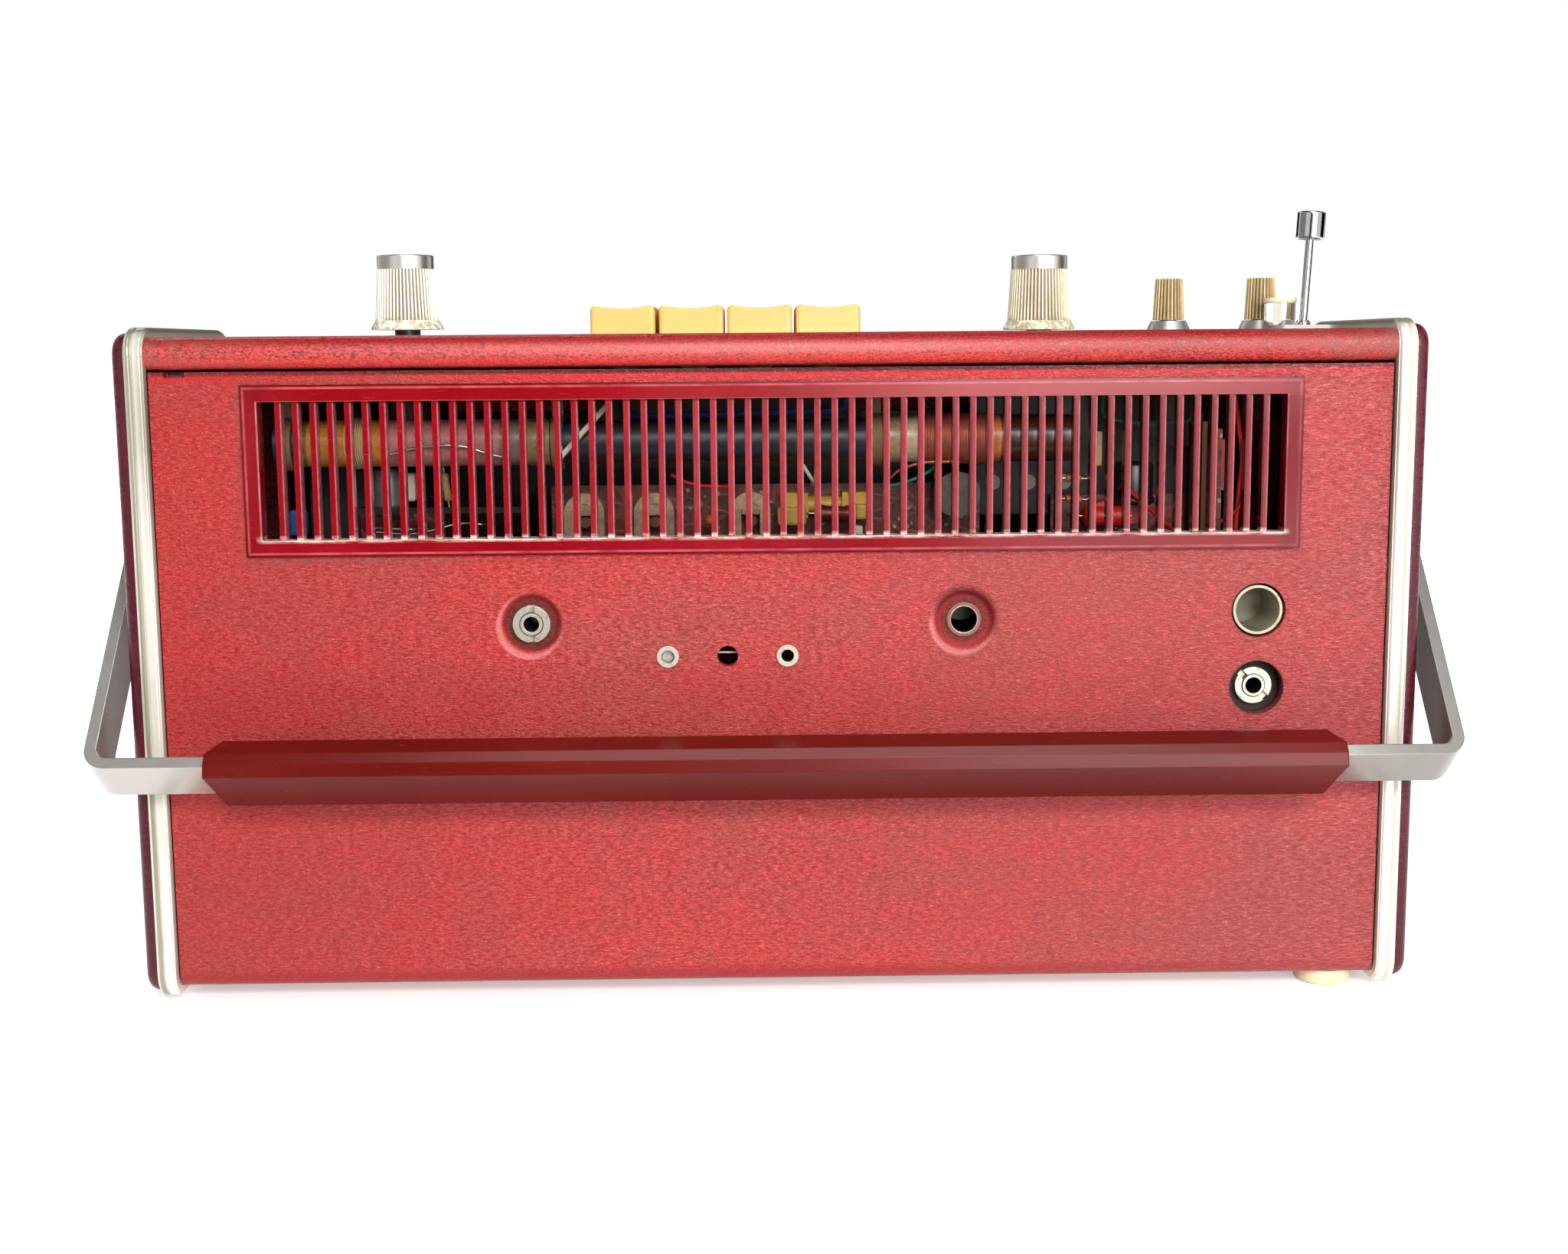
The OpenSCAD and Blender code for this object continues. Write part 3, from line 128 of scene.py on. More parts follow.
class Finish(Nodes):
    """A material, made of patterns in millimetres of the cabinet's frame."""

    def __init__(self, name, colour="#FFFFFF", rough=0.5, metal=0.0, **sockets):
        self.material = bpy.data.materials.new(name)
        self.material.use_nodes = True
        super().__init__(self.material.node_tree)
        self.shader = self.tree.nodes["Principled BSDF"]
        self.set("Base Color", linear(colour))
        self.set("Roughness", rough)
        self.set("Metallic", metal)
        self.edge = 0
        for socket, value in sockets.items():
            self.set(socket.replace("_", " "), value)
        self.material.diffuse_color = linear(colour)

    def set(self, socket, value):
        """Gives a socket of the shader a number, a colour or another node's output."""
        self.join(value, self.shader.inputs[socket])

    def place(self, scale=(1, 1, 1), shift=(0, 0, 0), wobble=0.0, wobble_size=0.01):
        """Position in millimetres times scale, after a shift, bent a little by noise."""
        coords = self.node("ShaderNodeTexCoord").outputs["Object"]
        if wobble:
            inputs = {"Vector": coords, "Scale": 1 / wobble_size, "Detail": 2.0}
            noise = self.node("ShaderNodeTexNoise", inputs)
            middle = self.node("ShaderNodeVectorMath", {0: noise.outputs["Color"], 1: (0.5, 0.5, 0.5)},
                               operation="SUBTRACT")
            bend = self.node("ShaderNodeVectorMath", {0: middle.outputs[0], "Scale": wobble * MM * 2},
                             operation="SCALE")
            coords = self.node("ShaderNodeVectorMath", {0: coords, 1: bend.outputs[0]}).outputs[0]
        offset = self.node("ShaderNodeVectorMath", {0: coords, 1: at(*shift)}, operation="SUBTRACT")
        factor = [s / MM for s in scale]
        scaled = self.node("ShaderNodeVectorMath", {0: offset.outputs[0], 1: factor}, operation="MULTIPLY")
        return scaled.outputs[0]

    def noise(self, size, detail=3.0, rough=0.55, stretch=(1, 1, 1), shift=(0, 0, 0), **place):
        """Cloudy noise whose blots are about size millimetres, 0 to 1."""
        vector = self.place([1 / (size * s) for s in stretch], shift, **place)
        inputs = {"Vector": vector, "Scale": 1.0, "Detail": detail, "Roughness": rough}
        return self.node("ShaderNodeTexNoise", inputs).outputs["Fac"]

    def blots(self, size, low, high, detail=5.0, rough=0.7, least=0.0, most=1.0, **noise):
        """Noise in clear patches: least where it is below low, most where it is above high."""
        return self.ramp(self.noise(size, detail, rough, **noise), [(low, least), (high, most)])

    def cells(self, size, feature="DISTANCE_TO_EDGE", jitter=1.0, **place):
        """Cells of the given width, depth and height in millimetres; 0 at their edges."""
        vector = self.place([1 / s for s in size], **place)
        inputs = {"Vector": vector, "Scale": 1.0, "Randomness": jitter}
        return self.node("ShaderNodeTexVoronoi", inputs, feature=feature).outputs["Distance"]

    def ramp(self, value, stops):
        """Grey levels along a value, easing from one stop to the next."""
        n = self.node("ShaderNodeValToRGB", {"Fac": value})
        band = n.color_ramp
        band.interpolation = "EASE"
        for element, (place, level) in zip(band.elements, sorted(stops)):
            element.position = place
            element.color = [level] * 3 + [1]
        return n.outputs["Color"]

    def mix(self, amount, a, b, kind="MIX"):
        """b over a, as amount says; a and b are hex codes or outputs."""
        n = self.node("ShaderNodeMix", data_type="RGBA", blend_type=kind)
        for value, socket in ((amount, 0), (a, 6), (b, 7)):
            self.join(linear(value) if isinstance(value, str) else value, n.inputs[socket])
        return n.outputs[2]

    def tint(self, base, mask, colour, amount=1.0):
        """Colour laid over the base where the mask is 1."""
        return self.mix(mask if amount == 1.0 else self.product(mask, amount), base, colour)

    def soil(self, colour, size, amount, base, low=0.5, high=0.75):
        """Patchy dirt over the base colour."""
        result = self.tint(base, self.blots(size, low, high, 5.0, 0.65), colour, amount)
        self.set("Base Color", result)
        return result

    def axis(self, letter):
        """X, Y or Z in millimetres in the cabinet's frame."""
        return self.node("ShaderNodeSeparateXYZ", {0: self.place()}).outputs[letter]

    def band(self, value, low, high, soft=0.5):
        """1 between low and high, 0 outside, with soft edges."""
        up = self.fade(value, low - soft, low + soft)
        down = self.fade(value, high - soft, high + soft, 1.0, 0.0)
        return self.product(up, down)

    def distance(self, centre, letters):
        """Distance in millimetres from a centre, along two of the axes."""
        split = self.node("ShaderNodeSeparateXYZ", {0: self.place(shift=centre)}).outputs
        flat = self.node("ShaderNodeCombineXYZ", {0: split[letters[0]], 1: split[letters[1]]}).outputs[0]
        return self.node("ShaderNodeVectorMath", {0: flat}, operation="LENGTH").outputs["Value"]

    def ring(self, x, z, inner, outer, soft=0.2, ragged=0.0):
        """1 between two radii round the level axis through (x, z), 0 elsewhere."""
        r = self.distance((x, 0, z), "XZ")
        if ragged:
            r = self.plus(r, self.math("SUBTRACT", self.noise(2.0, 4.0), 0.5), ragged)
        return self.band(r, inner, outer, soft)

    def frame_distance(self, half_x, low_z, high_z):
        """Distance outside an upright rectangle, negative inside it, and 0 along its corners' mitres."""
        side = self.math("SUBTRACT", self.math("ABSOLUTE", self.axis("X")), half_x)
        level = self.math("SUBTRACT", self.axis("Z"), (low_z + high_z) / 2)
        level = self.math("SUBTRACT", self.math("ABSOLUTE", level), (high_z - low_z) / 2)
        return self.math("MAXIMUM", side, level), self.math("SUBTRACT", side, level)

    def bump(self, height, depth, strength=1.0, under=None):
        """Raises the surface by up to depth millimetres where height is 1."""
        inputs = {"Height": height, "Distance": depth * MM, "Strength": strength}
        if under is None and self.edge:
            under = self.node("ShaderNodeBevel", {"Radius": self.edge * MM}, samples=4).outputs[0]
        if under is not None:
            inputs["Normal"] = under
        normal = self.node("ShaderNodeBump", inputs).outputs[0]
        self.set("Normal", normal)
        return normal


def leather(name, mid, ridge_sheen, groove, blotch, size, depth, contrast, rough, stretch=2.1, shine=0.3):
    """Grained covering: short level wrinkles with ridges paled by painted sheen and deep grooves, and wide
    blotches of wear.
    """
    f = Finish(name, mid, rough, Specular_IOR_Level=shine)
    wrinkle = f.blots(size, 0.36, 0.62, 3.0, 0.62, stretch=(stretch, 1.4, 1), wobble=0.5, wobble_size=0.003)
    pebble = f.cells((size * 0.7 * stretch, size, size * 0.8), wobble=0.4, wobble_size=0.002)
    grain = f.product(wrinkle, f.ramp(pebble, [(0.0, 0.35), (0.22, 1.0)]))
    wide = f.blots(46.0, 0.40, 0.64, 4.0, 0.6, 0.0, 0.85, stretch=(1.3, 1, 0.8), shift=(11, 0, 5))
    middling = f.noise(9.0, 5.0, 0.65, stretch=(1.6, 1, 1), shift=(30, 0, 12))
    c = f.mix(wide, mid, blotch)
    c = f.tint(c, f.ramp(middling, [(0.40, 1.0), (0.58, 0.0)]), blotch, 0.3)
    # Painted sheen: the ridges of the grain are tinted pale
    c = f.tint(c, f.ramp(grain, [(0.35, 0.0), (0.95, 1.0)]), ridge_sheen, contrast)
    c = f.tint(c, f.ramp(grain, [(0.0, 1.0), (0.4, 0.0)]), groove, contrast)
    f.colour = c
    f.set("Base Color", c)
    f.set("Roughness", f.plus(rough - 0.06, middling, 0.12))
    normal = f.bump(grain, depth)
    fold = f.cells((46, 60, 30), wobble=9.0, wobble_size=0.022)
    f.bump(f.ramp(fold, [(0.0, 0.0), (0.012, 1.0)]), 0.10, 0.35, normal)
    return f


def cover_leather():
    """The back cover: painted shade with some grime in its pressed rings, painted shadow under the roll,
    dust round the louvres.
    """
    f = leather("cover_leather", "#BC2D2B", "#D45652", "#820E0C", "#9A4039", 0.47, 0.16, 0.8, 0.38,
                stretch=3.2, shine=0.45)
    c = f.colour
    x = f.axis("X")
    z = f.axis("Z")

    # Painted highlights on the lower left edges of the two pressed dimples, then darker rings round each
    # opening, partly painted shade and partly grime
    for hole_x, hole_z in (EMPTY_HOLE, LEFT_JACK):
        painted_dimple_highlight = f.less(f.ring(hole_x - 0.5, hole_z - 0.6, 0, 7.4, 0.35), f.ring(hole_x, hole_z, 0, 6.7, 0.4))
        c = f.tint(c, painted_dimple_highlight, "#F29A98", 0.6)
    # Painted shade in the dimples and recesses round the openings, together with grime round the jacks
    c = f.tint(c, f.ring(*EMPTY_HOLE, 0, 7.0, 1.2, 1.6), "#96100F", 0.75)
    c = f.tint(c, f.ring(*EMPTY_HOLE, 3.6, 5.6, 0.4, 0.8), "#7E1210", 0.6)
    c = f.tint(c, f.ring(*LEFT_JACK, 0, 7.0, 1.0, 1.2), "#A31A18", 0.6)
    c = f.tint(c, f.ring(*LEFT_JACK, 0, 6.1, 0.35, 0.8), "#4E1A10", 0.9)
    c = f.tint(c, f.ring(*RIGHT_JACK, 0, 6.5, 0.3, 0.6), "#3E2114", 0.9)
    c = f.tint(c, f.ring(*AERIAL_SOCKET, 0, 7.2, 0.6, 1.0), "#8E2A22", 0.5)

    # Lip, painted shadow in the seam under the roll, dust at the frame's left end, painted shade along the
    # lower edge, over the left side and by the grip
    c = f.tint(c, f.band(z, 142.3, 150.0, 0.3), "#C8101E", 0.65)
    # Painted shadow under the roll
    c = f.tint(c, f.band(z, 143.7, 150.0, 0.25), "#3E0605", 0.96)
    beside = f.band(f.frame_distance(*FRAME_OUTLINE)[0], 0.0, 1.6, 0.8)
    c = f.tint(c, f.product(beside, f.band(x, -122, -70, 12), f.blots(2.2, 0.36, 0.62)), "#8A5048", 0.7)
    # Painted shade along the lower edge
    c = f.tint(c, f.band(z, 0.0, 7.4, 0.9), "#9C0A0C", 0.85)
    # Painted shade: the left side darker
    c = f.tint(c, f.fade(x, -35.0, -132.0, 0.0, 0.42), "#9C0807")
    # Painted shade by the grip
    cloud = f.blots(16.0, 0.3, 0.7, 4.0, 0.55, 0.4)
    c = f.tint(c, f.product(f.band(z, 60.0, 76.5, 5.0), cloud), "#960E0C", 0.45)

    # Painted sheen on the right side, where the wrinkles stand out more, with painted highlights on their
    # crests
    painted_sheen_right = f.fade(x, 20.0, 138.0, 0.0, 0.4)
    c = f.mix(painted_sheen_right, c, "#A8484C")
    wrinkles = f.noise(0.42, 3.0, 0.6, stretch=(4.6, 1.4, 0.8), wobble=0.6, wobble_size=0.004)
    c = f.tint(c, f.product(f.ramp(wrinkles, [(0.40, 1.0), (0.52, 0.0)]), painted_sheen_right), "#80161A", 1.7)
    c = f.tint(c, f.product(f.ramp(wrinkles, [(0.55, 0.0), (0.68, 1.0)]), painted_sheen_right), "#DC7C7C", 1.1)

    # Painted shade in the dimples, the dull ring of wear in the empty hole's, and painted shade along that
    # dimple's upper rim
    for hole_x, hole_z in (EMPTY_HOLE, LEFT_JACK):
        painted_dimple_shade = f.less(f.ring(hole_x, hole_z, 0, 6.8, 0.5), f.ring(hole_x - 0.8, hole_z - 0.9, 0, 6.6, 0.8))
        c = f.tint(c, painted_dimple_shade, "#7C0A0C", 0.75)
    hole_x, hole_z = EMPTY_HOLE
    c = f.tint(c, f.ring(hole_x, hole_z, 3.1, 5.2, 0.3, 0.8), "#661E18", 0.75)
    # Painted shade across the upper rim of the empty hole's dimple
    rim = f.ring(hole_x, hole_z + 0.2, 4.8, 7.6, 0.5, 0.6)
    c = f.tint(c, f.less(rim, f.ring(hole_x - 0.5, hole_z - 2.0, 0, 7.0, 0.8)), "#6E0406", 0.8)
    pressed = f.math("ADD", f.ring(*EMPTY_HOLE, 0, 7.2, 0.4), f.ring(*LEFT_JACK, 0, 7.0, 0.4))
    f.set("Roughness", f.plus(0.36, pressed, 0.3))

    # Painted shade in the gap at the left end under the roll
    painted_gap_shade = f.product(f.band(z, 143.9, 150.0, 0.1), f.band(x, -134.0, -130.2, 0.4))
    f.set("Base Color", f.tint(c, painted_gap_shade, "#080303"))
    return f


def roll_leather():
    """The cabinet's covering: painted shade on top of the roll, a painted highlight along its edge with
    painted light below it, dusty at its ends.
    """
    f = leather("roll_leather", "#CA2A27", "#DC4E4A", "#5E0605", "#AE3A34", 0.4, 0.1, 0.95, 0.29,
                stretch=2.0, shine=0.42)
    x = f.axis("X")
    z = f.axis("Z")
    edge = f.band(z, 147.7, 150.0, 0.7)
    from_left = f.fade(x, -120.0, -20.0, 0.1, 1.0)
    to_right = f.fade(x, 20.0, 90.0, 1.0, 0.3)
    # Painted shade on top of the roll
    c = f.tint(f.colour, f.band(z, 150.3, 160, 0.6), "#8A0504", 0.78)
    # Painted highlight along the roll's edge, greyer towards the right
    c = f.tint(c, f.product(from_left, to_right, edge), "#F09A94", 0.32)
    c = f.tint(c, f.product(f.math("SUBTRACT", 1.0, to_right), edge), "#984C48", 0.75)
    # Painted light: the roll's lower face lighter, less so towards the right
    c = f.tint(c, f.product(to_right, f.band(z, 144.8, 147.4, 0.5)), "#EC4A42", 0.4)
    ends = f.fade(f.math("ABSOLUTE", x), 104.0, 137.0, 0.0, 0.6)
    f.set("Base Color", f.tint(c, f.product(ends, f.blots(5.0, 0.35, 0.65)), "#8C5048"))
    return f


def plastic(name, colour, rough=0.28, dirt=None, dirt_amount=0.4, scratch=0.15, dirt_size=5.0, edge=0):
    """Moulded plastic with fine scratches and some dirt."""
    f = Finish(name, colour, rough)
    f.edge = edge
    if dirt:
        f.soil(dirt, dirt_size, dirt_amount, f.tint(colour, f.noise(14.0, 4.0), dirt, 0.25))
    marks = f.blots(0.5, 0.60, 0.74, 4.0, stretch=(9, 1, 0.6), wobble=0.5, wobble_size=0.02)
    f.set("Roughness", f.plus(rough, marks, scratch))
    f.bump(f.noise(1.6, 4.0, 0.6), 0.012)
    return f


def metal(name, colour, rough, dirt, dirt_amount=0.5, brushed=None, dirt_size=4.0, metallic=1.0, edge=0):
    """Bare or plated metal; brushed gives the stretch of its fine lines along X, Y and Z."""
    f = Finish(name, colour, rough, metallic)
    f.edge = edge
    f.soil(dirt, dirt_size, dirt_amount, colour, 0.52, 0.78)
    f.set("Roughness", f.plus(rough, f.blots(5.0, 0.4, 0.8, 5.0, 0.65), 0.1))
    if brushed:
        f.bump(f.noise(0.16, 2.0, 0.5, stretch=brushed), 0.006)
    else:
        f.bump(f.noise(0.8, 3.0, 0.6), 0.004)
    return f


def metallised_trim():
    """Champagne metallised strip with an olive groove and greyer upper part from painted reflection, strong
    on the left strip, duller over its top corner.
    """
    f = Finish("metallised_trim", "#DCD5C0", 0.28, 0.36, Specular_IOR_Level=0.6)
    f.edge = 0.2
    z = f.axis("Z")
    side = f.math("ABSOLUTE", f.axis("X"))
    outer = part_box("right_trim")[1].x / MM
    # Painted reflection: the olive groove and the greyer upper part are strong on the left strip, faint on
    # the right
    painted_reflection_left = f.fade(f.axis("X"), -100.0, 100.0, 0.8, 0.12)
    c = f.mix(f.blots(9.0, 0.5, 0.8, 4.0, 0.55, 0.0, 0.5), "#EFEADC", "#DCD5C2")
    c = f.tint(c, f.product(f.band(side, outer - 1.55, outer - 0.6, 0.12), painted_reflection_left), "#77735A")
    c = f.tint(c, f.product(f.band(z, 122.0, 153.0, 12.0), painted_reflection_left), "#8E8C7E", 0.5)
    seam_side = f.product(f.band(side, outer - 6.0, outer - 3.0, 0.5), f.band(z, 112.0, 153.0, 16.0))
    c = f.tint(c, seam_side, "#85836C", 0.55)
    over = f.band(z, 153.4, 160.0, 0.4)
    f.set("Metallic", f.plus(0.36, over, -0.1))
    f.set("Base Color", f.tint(c, over, "#8A8674"))
    f.bump(f.noise(3.0, 3.0, 0.5, stretch=(1, 1, 6)), 0.006)
    return f


def red_frame():
    """Gloss crimson plastic of the louvred frame, with painted highlights and shade on its edges and bars,
    and dust on its lower ledge.
    """
    f = Finish("crimson_plastic", "#86060F", 0.15, Specular_IOR_Level=0.3)
    f.edge = 0.3
    x = f.axis("X")
    z = f.axis("Z")
    inner, mitre = f.frame_distance(*FRAME_OPENING)
    outer = f.frame_distance(*FRAME_OUTLINE)[0]
    c = f.mix(f.blots(22.0, 0.35, 0.7, 3.0, 0.55), "#7E0510", "#8C0A17")
    marks = f.blots(0.34, 0.62, 0.72, 4.0, 0.75, stretch=(16, 1, 0.7), wobble=0.6, wobble_size=0.03)
    c = f.tint(c, marks, "#CE6F70", 0.22)

    # Painted highlights in patches along the edges of the frame's face, its outline in painted shade, mitre
    # lines, and its ends deeper red with painted shade
    painted_edge_glint = f.product(f.blots(6.0, 0.3, 0.65, 4.0, 0.6, 0.35), f.band(f.axis("Y"), -3.0, -0.5, 0.1))
    c = f.tint(c, f.product(f.band(inner, 0.0, 0.35, 0.12), painted_edge_glint), "#DB9596", 0.75)
    c = f.tint(c, f.product(f.band(outer, -0.95, -0.5, 0.1), painted_edge_glint), "#C86A70", 0.6)
    # Painted shade in the gap round the frame's outline
    c = f.tint(c, f.band(outer, -0.3, 0.4, 0.1), "#4E0008", 0.7)
    c = f.tint(c, f.product(f.band(mitre, -0.12, 0.12, 0.06), f.band(inner, 0.3, 4.2, 0.1)), "#5C0610", 0.7)
    # Painted shade: both ends of the frame deeper red, the right one more
    c = f.tint(c, f.band(x, 113.0, 130.0, 1.0), "#62040C", 0.5)
    c = f.tint(c, f.band(x, -130.0, -113.0, 1.0), "#5C0006", 0.2)

    # Bars: painted sheen in patches towards the right, painted shade on them below the top strip there, and
    # a painted reflection along the top strip
    on_bars = f.band(inner, -30.0, -0.15, 0.1)
    # Painted sheen in patches on the bars towards the right
    painted_bar_sheen = f.product(on_bars, f.fade(x, -70.0, -10.0, 0.0, 0.12), f.blots(4.0, 0.3, 0.62, least=0.3))
    c = f.tint(c, painted_bar_sheen, "#C8707C")
    top_strip = f.band(z, 137.6, 142.0, 0.2)
    below = f.math("SUBTRACT", 1.0, top_strip)
    # Painted shade on the bars below the top strip, deeper towards the right
    c = f.tint(c, f.product(f.fade(x, -10.0, 90.0, 0.0, 0.25), below), "#4A0008")
    # Painted reflection: the top strip paler from its middle to the right
    c = f.tint(c, f.product(top_strip, f.band(x, 15.0, 108.0, 20.0)), "#D89A9E", 0.12)

    # Each bar's left side in painted shade and its right edge with a painted highlight in patches, by the
    # distance from the bar's middle
    turn = f.math("FRACT", f.math("ADD", f.math("DIVIDE", x, BAR_PITCH), 101.0))
    off_bar = f.math("MULTIPLY", f.math("SUBTRACT", turn, 0.5), BAR_PITCH)
    painted_bar_shade = f.product(f.band(off_bar, -0.9, -0.24, 0.1), f.band(x, 30.0, 130.0, 20.0), on_bars)
    c = f.tint(c, painted_bar_shade, "#3C0206", 0.75)
    painted_bar_glint = f.product(f.band(off_bar, 0.42, 0.95, 0.08), on_bars, f.blots(2.2, 0.3, 0.62, least=0.45))
    c = f.tint(c, painted_bar_glint, "#D89CA2", 0.3)

    specks = f.blots(1.7, 0.36, 0.62, 6.0, 0.75, stretch=(3.0, 1, 0.6))
    dust = f.product(f.band(z, 106.9, 108.0, 0.35), f.band(x, -114.5, 114.5, 1.0), specks)
    f.set("Base Color", f.mix(dust, c, "#E0CCC0"))
    f.set("Roughness", f.plus(0.13, f.plus(dust, marks, 0.4), 0.45))
    f.bump(f.noise(3.0, 3.0), 0.01)
    return f


def ribbed(name, colour, stain, x, low, high, r_low, r_high, depth, rough=0.38, metallic=0.0, foot=0.75):
    """A ribbed knob: grime at the bottom of its ribs, whose outline narrows from low to high."""
    f = Finish(name, colour, rough, metallic)
    z = f.axis("Z")
    lean = f.math("MULTIPLY", f.math("SUBTRACT", z, low), (r_low - r_high) / (high - low))
    outline = f.math("ADD", f.distance((x, SHAFT_Y, 0), "XY"), lean)
    grime = f.fade(outline, r_low - depth * 0.85, r_low - depth * 0.35, 1.0, 0.0)
    c = f.mix(f.blots(4.0, 0.4, 0.75, 5.0, 0.65, 0.0, 0.6), colour, stain)
    c = f.tint(c, f.product(grime, f.band(z, low, high, 0.15)), "#44341F", 0.85)
    at_foot = f.product(f.band(z, low - 6, low + 0.6, 0.8), f.blots(1.4, 0.40, 0.60))
    c = f.tint(c, at_foot, "#8E7C5C", foot)
    f.set("Base Color", f.mix(f.band(z, 100.0, low - 2.2, 0.1), c, "#100E0C"))
    f.bump(f.noise(0.7, 3.0), 0.01)
    return f


def ivory_knob(name, x, lift, clean, stained):
    """A large knob that stands the lift above the control plate."""
    low = PLATE_TOP + lift + 2.1
    return ribbed(name, clean, stained, x, low, low + 12, 7.45, 6.7, 0.5)


def tone_knob(name, x):
    return ribbed(name, "#C6AC7E", "#927C55", x, 154.8, 164.4, 3.7, 3.2, 0.35, 0.45, 0.25, 0.4)


def spun(name, x):
    """Turned aluminium cap of a large knob: fine rings round its axis."""
    f = Finish(name, "#DAD6CE", 0.33, 1.0)
    f.edge = 0.2
    ring_width = 0.32
    wave = f.math("SINE", f.product(f.distance((x, SHAFT_Y, 0), "XY"), 2 * math.pi / ring_width))
    f.soil("#6C655B", 2.5, 0.35, "#DAD6CE", 0.55, 0.8)
    f.bump(wave, 0.004)
    return f


def banded(name, axis, bands, rough=0.5, speckle=0.2, metallic=0.0):
    """Colours in zones along one axis: a list of (start in millimetres, colour)."""
    c = bands[0][1]
    f = Finish(name, c, rough, metallic)
    value = f.axis(axis)
    for start, code in bands[1:]:
        c = f.mix(f.fade(value, start - 0.15, start + 0.15), c, code)
    cloud = f.product(f.blots(1.6, 0.35, 0.7), speckle)
    f.set("Base Color", f.mix(cloud, c, "#3A2A1C", "MULTIPLY"))
    f.bump(f.noise(0.9, 3.0), 0.03)
    return f


def bored(name, colour, holes, deep=0.3, seam=0, metallic=0.55):
    """Dull nickel with grime, painted shade inside each hole, (x, z, radius), and a dark line along a seam
    of that radius.
    """
    f = Finish(name, colour, 0.36, metallic)
    f.edge = 0.2
    c = f.soil("#6B5A44", 1.7, 0.6, colour, 0.54, 0.74)
    for x, z, radius in holes:
        if seam:
            c = f.tint(c, f.ring(x, z, seam - 0.14, seam + 0.14, 0.06), "#2A2019", 0.85)
        # Painted shade inside the hole, beyond the given depth
        within = f.math("LESS_THAN", f.distance((x, 0, z), "XZ"), radius)
        below = f.math("GREATER_THAN", f.axis("Y"), deep)
        c = f.tint(c, f.product(within, below), "#120D09", 0.93)
    f.colour = c
    f.set("Base Color", c)
    f.bump(f.noise(0.9, 3.0), 0.01)
    return f


def socket_nickel():
    """The car aerial socket, in shade on the left of its bore."""
    x, z = AERIAL_SOCKET
    f = bored("socket_nickel", "#B4AC94", [(x, z, 5.0)], 30.0, metallic=0.2)
    shade = f.less(f.ring(x, z, 0, 5.02, 0.04), f.ring(x + 3.6, z - 1.3, 0, 3.6, 1.4))
    f.set("Base Color", f.tint(f.colour, shade, "#5E563E", 0.7))
    return f


def rivet_nickel():
    """The eyelets and rivets: a worn ring round the empty hole, a dark line round the left rivet's head."""
    f = bored("rivet_nickel", "#D2CBBA", [(*CONTACT_EYELET, 1.5), (*EMPTY_HOLE, 3.0)])
    c = f.tint(f.colour, f.ring(*EMPTY_HOLE, 3.1, 6.0, 0.12, 0.3), "#7A4038", 0.9)
    f.set("Base Color", f.tint(c, f.ring(*RIVET, 1.25, 1.5, 0.1), "#4A4438", 0.8))
    return f


def circuit():
    """Brown laminate with tinned copper tracks and solder dots."""
    f = Finish("laminate", "#5A1D12", 0.42)
    track = f.cells((7.5, 40, 4.2), jitter=0.85, wobble=0.8, wobble_size=0.006)
    lines = f.ramp(track, [(0.05, 1.0), (0.09, 0.0)])
    solder = f.ramp(f.cells((3.1, 30, 3.1), "F1"), [(0.16, 1.0), (0.22, 0.0)])
    c = f.mix(f.blots(3.0, 0.35, 0.7), "#6A2616", "#3A0F09")
    c = f.tint(c, lines, "#8E4A24", 0.4)
    c = f.tint(c, solder, "#A89C86", 0.6)
    f.set("Base Color", c)
    f.set("Metallic", f.product(solder, 0.8))
    f.bump(f.plus(solder, lines, 0.3), 0.12)
    return f


def clear(name, colour, rough, ior):
    """Clear plastic that lets light and shadow through."""
    f = Finish(name, colour, rough, IOR=ior, Transmission_Weight=1.0)
    f.bump(f.noise(6.0, 2.0), 0.006)
    return f


def clear_post():
    """The small clear post, milky along its top rim."""
    f = clear("clear_post", "#F3EFE6", 0.04, 1.46)
    rim = f.band(f.axis("Z"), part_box("clear_post")[1].z / MM - 1.1, 170.0, 0.15)
    f.set("Transmission Weight", f.plus(1.0, rim, -0.8))
    f.set("Base Color", f.mix(rim, "#F4F1EA", "#F3E6C4"))
    return f


def grip_finish():
    """Dark red-brown gloss of the grip, with long fine scratches."""
    f = Finish("grip_plastic", "#5A120B", 0.24, Specular_IOR_Level=0.2)
    f.edge = 0.5
    c = f.mix(f.blots(34.0, 0.35, 0.7, 4.0, 0.6, stretch=(2, 1, 1)), "#590A04", "#65110A")
    marks = f.blots(0.4, 0.64, 0.76, 4.0, 0.75, stretch=(14, 1, 1), wobble=0.8, wobble_size=0.03)
    f.set("Base Color", f.tint(c, marks, "#A8756C", 0.18))
    f.set("Roughness", f.plus(0.22, marks, 0.3))
    f.bump(f.noise(2.5, 4.0, 0.6), 0.01)
    return f


def bail_metal():
    """Brushed aluminium of the handle's strip, darker at the right with painted shade."""
    f = metal("bail_aluminium", "#C4C0BA", 0.2, "#7E7668", 0.14, (20, 1, 20), 16.0, 0.75, edge=0.3)
    # Painted shade: the right end darker
    f.set("Base Color", f.mix(f.fade(f.axis("X"), 96.0, 140.0, 0.0, 0.5), "#C4C0BA", "#5E5A55"))
    return f


def dull_steel():
    """Blackened steel of the chassis and the speaker frame, rusty and darkened with painted shade where the
    right jack shows it.
    """
    f = metal("dull_steel", "#2C2723", 0.55, "#120E0B", 0.6, None, 7.0, 0.5)
    rust_and_shade = f.mix(f.blots(1.1, 0.35, 0.7), "#3C2B20", "#20140E")
    # Rust and painted shade on the recess wall behind the right jack
    f.set("Base Color", f.tint("#2C2723", f.ring(*RIGHT_JACK, 0, 9.0), rust_and_shade))
    return f


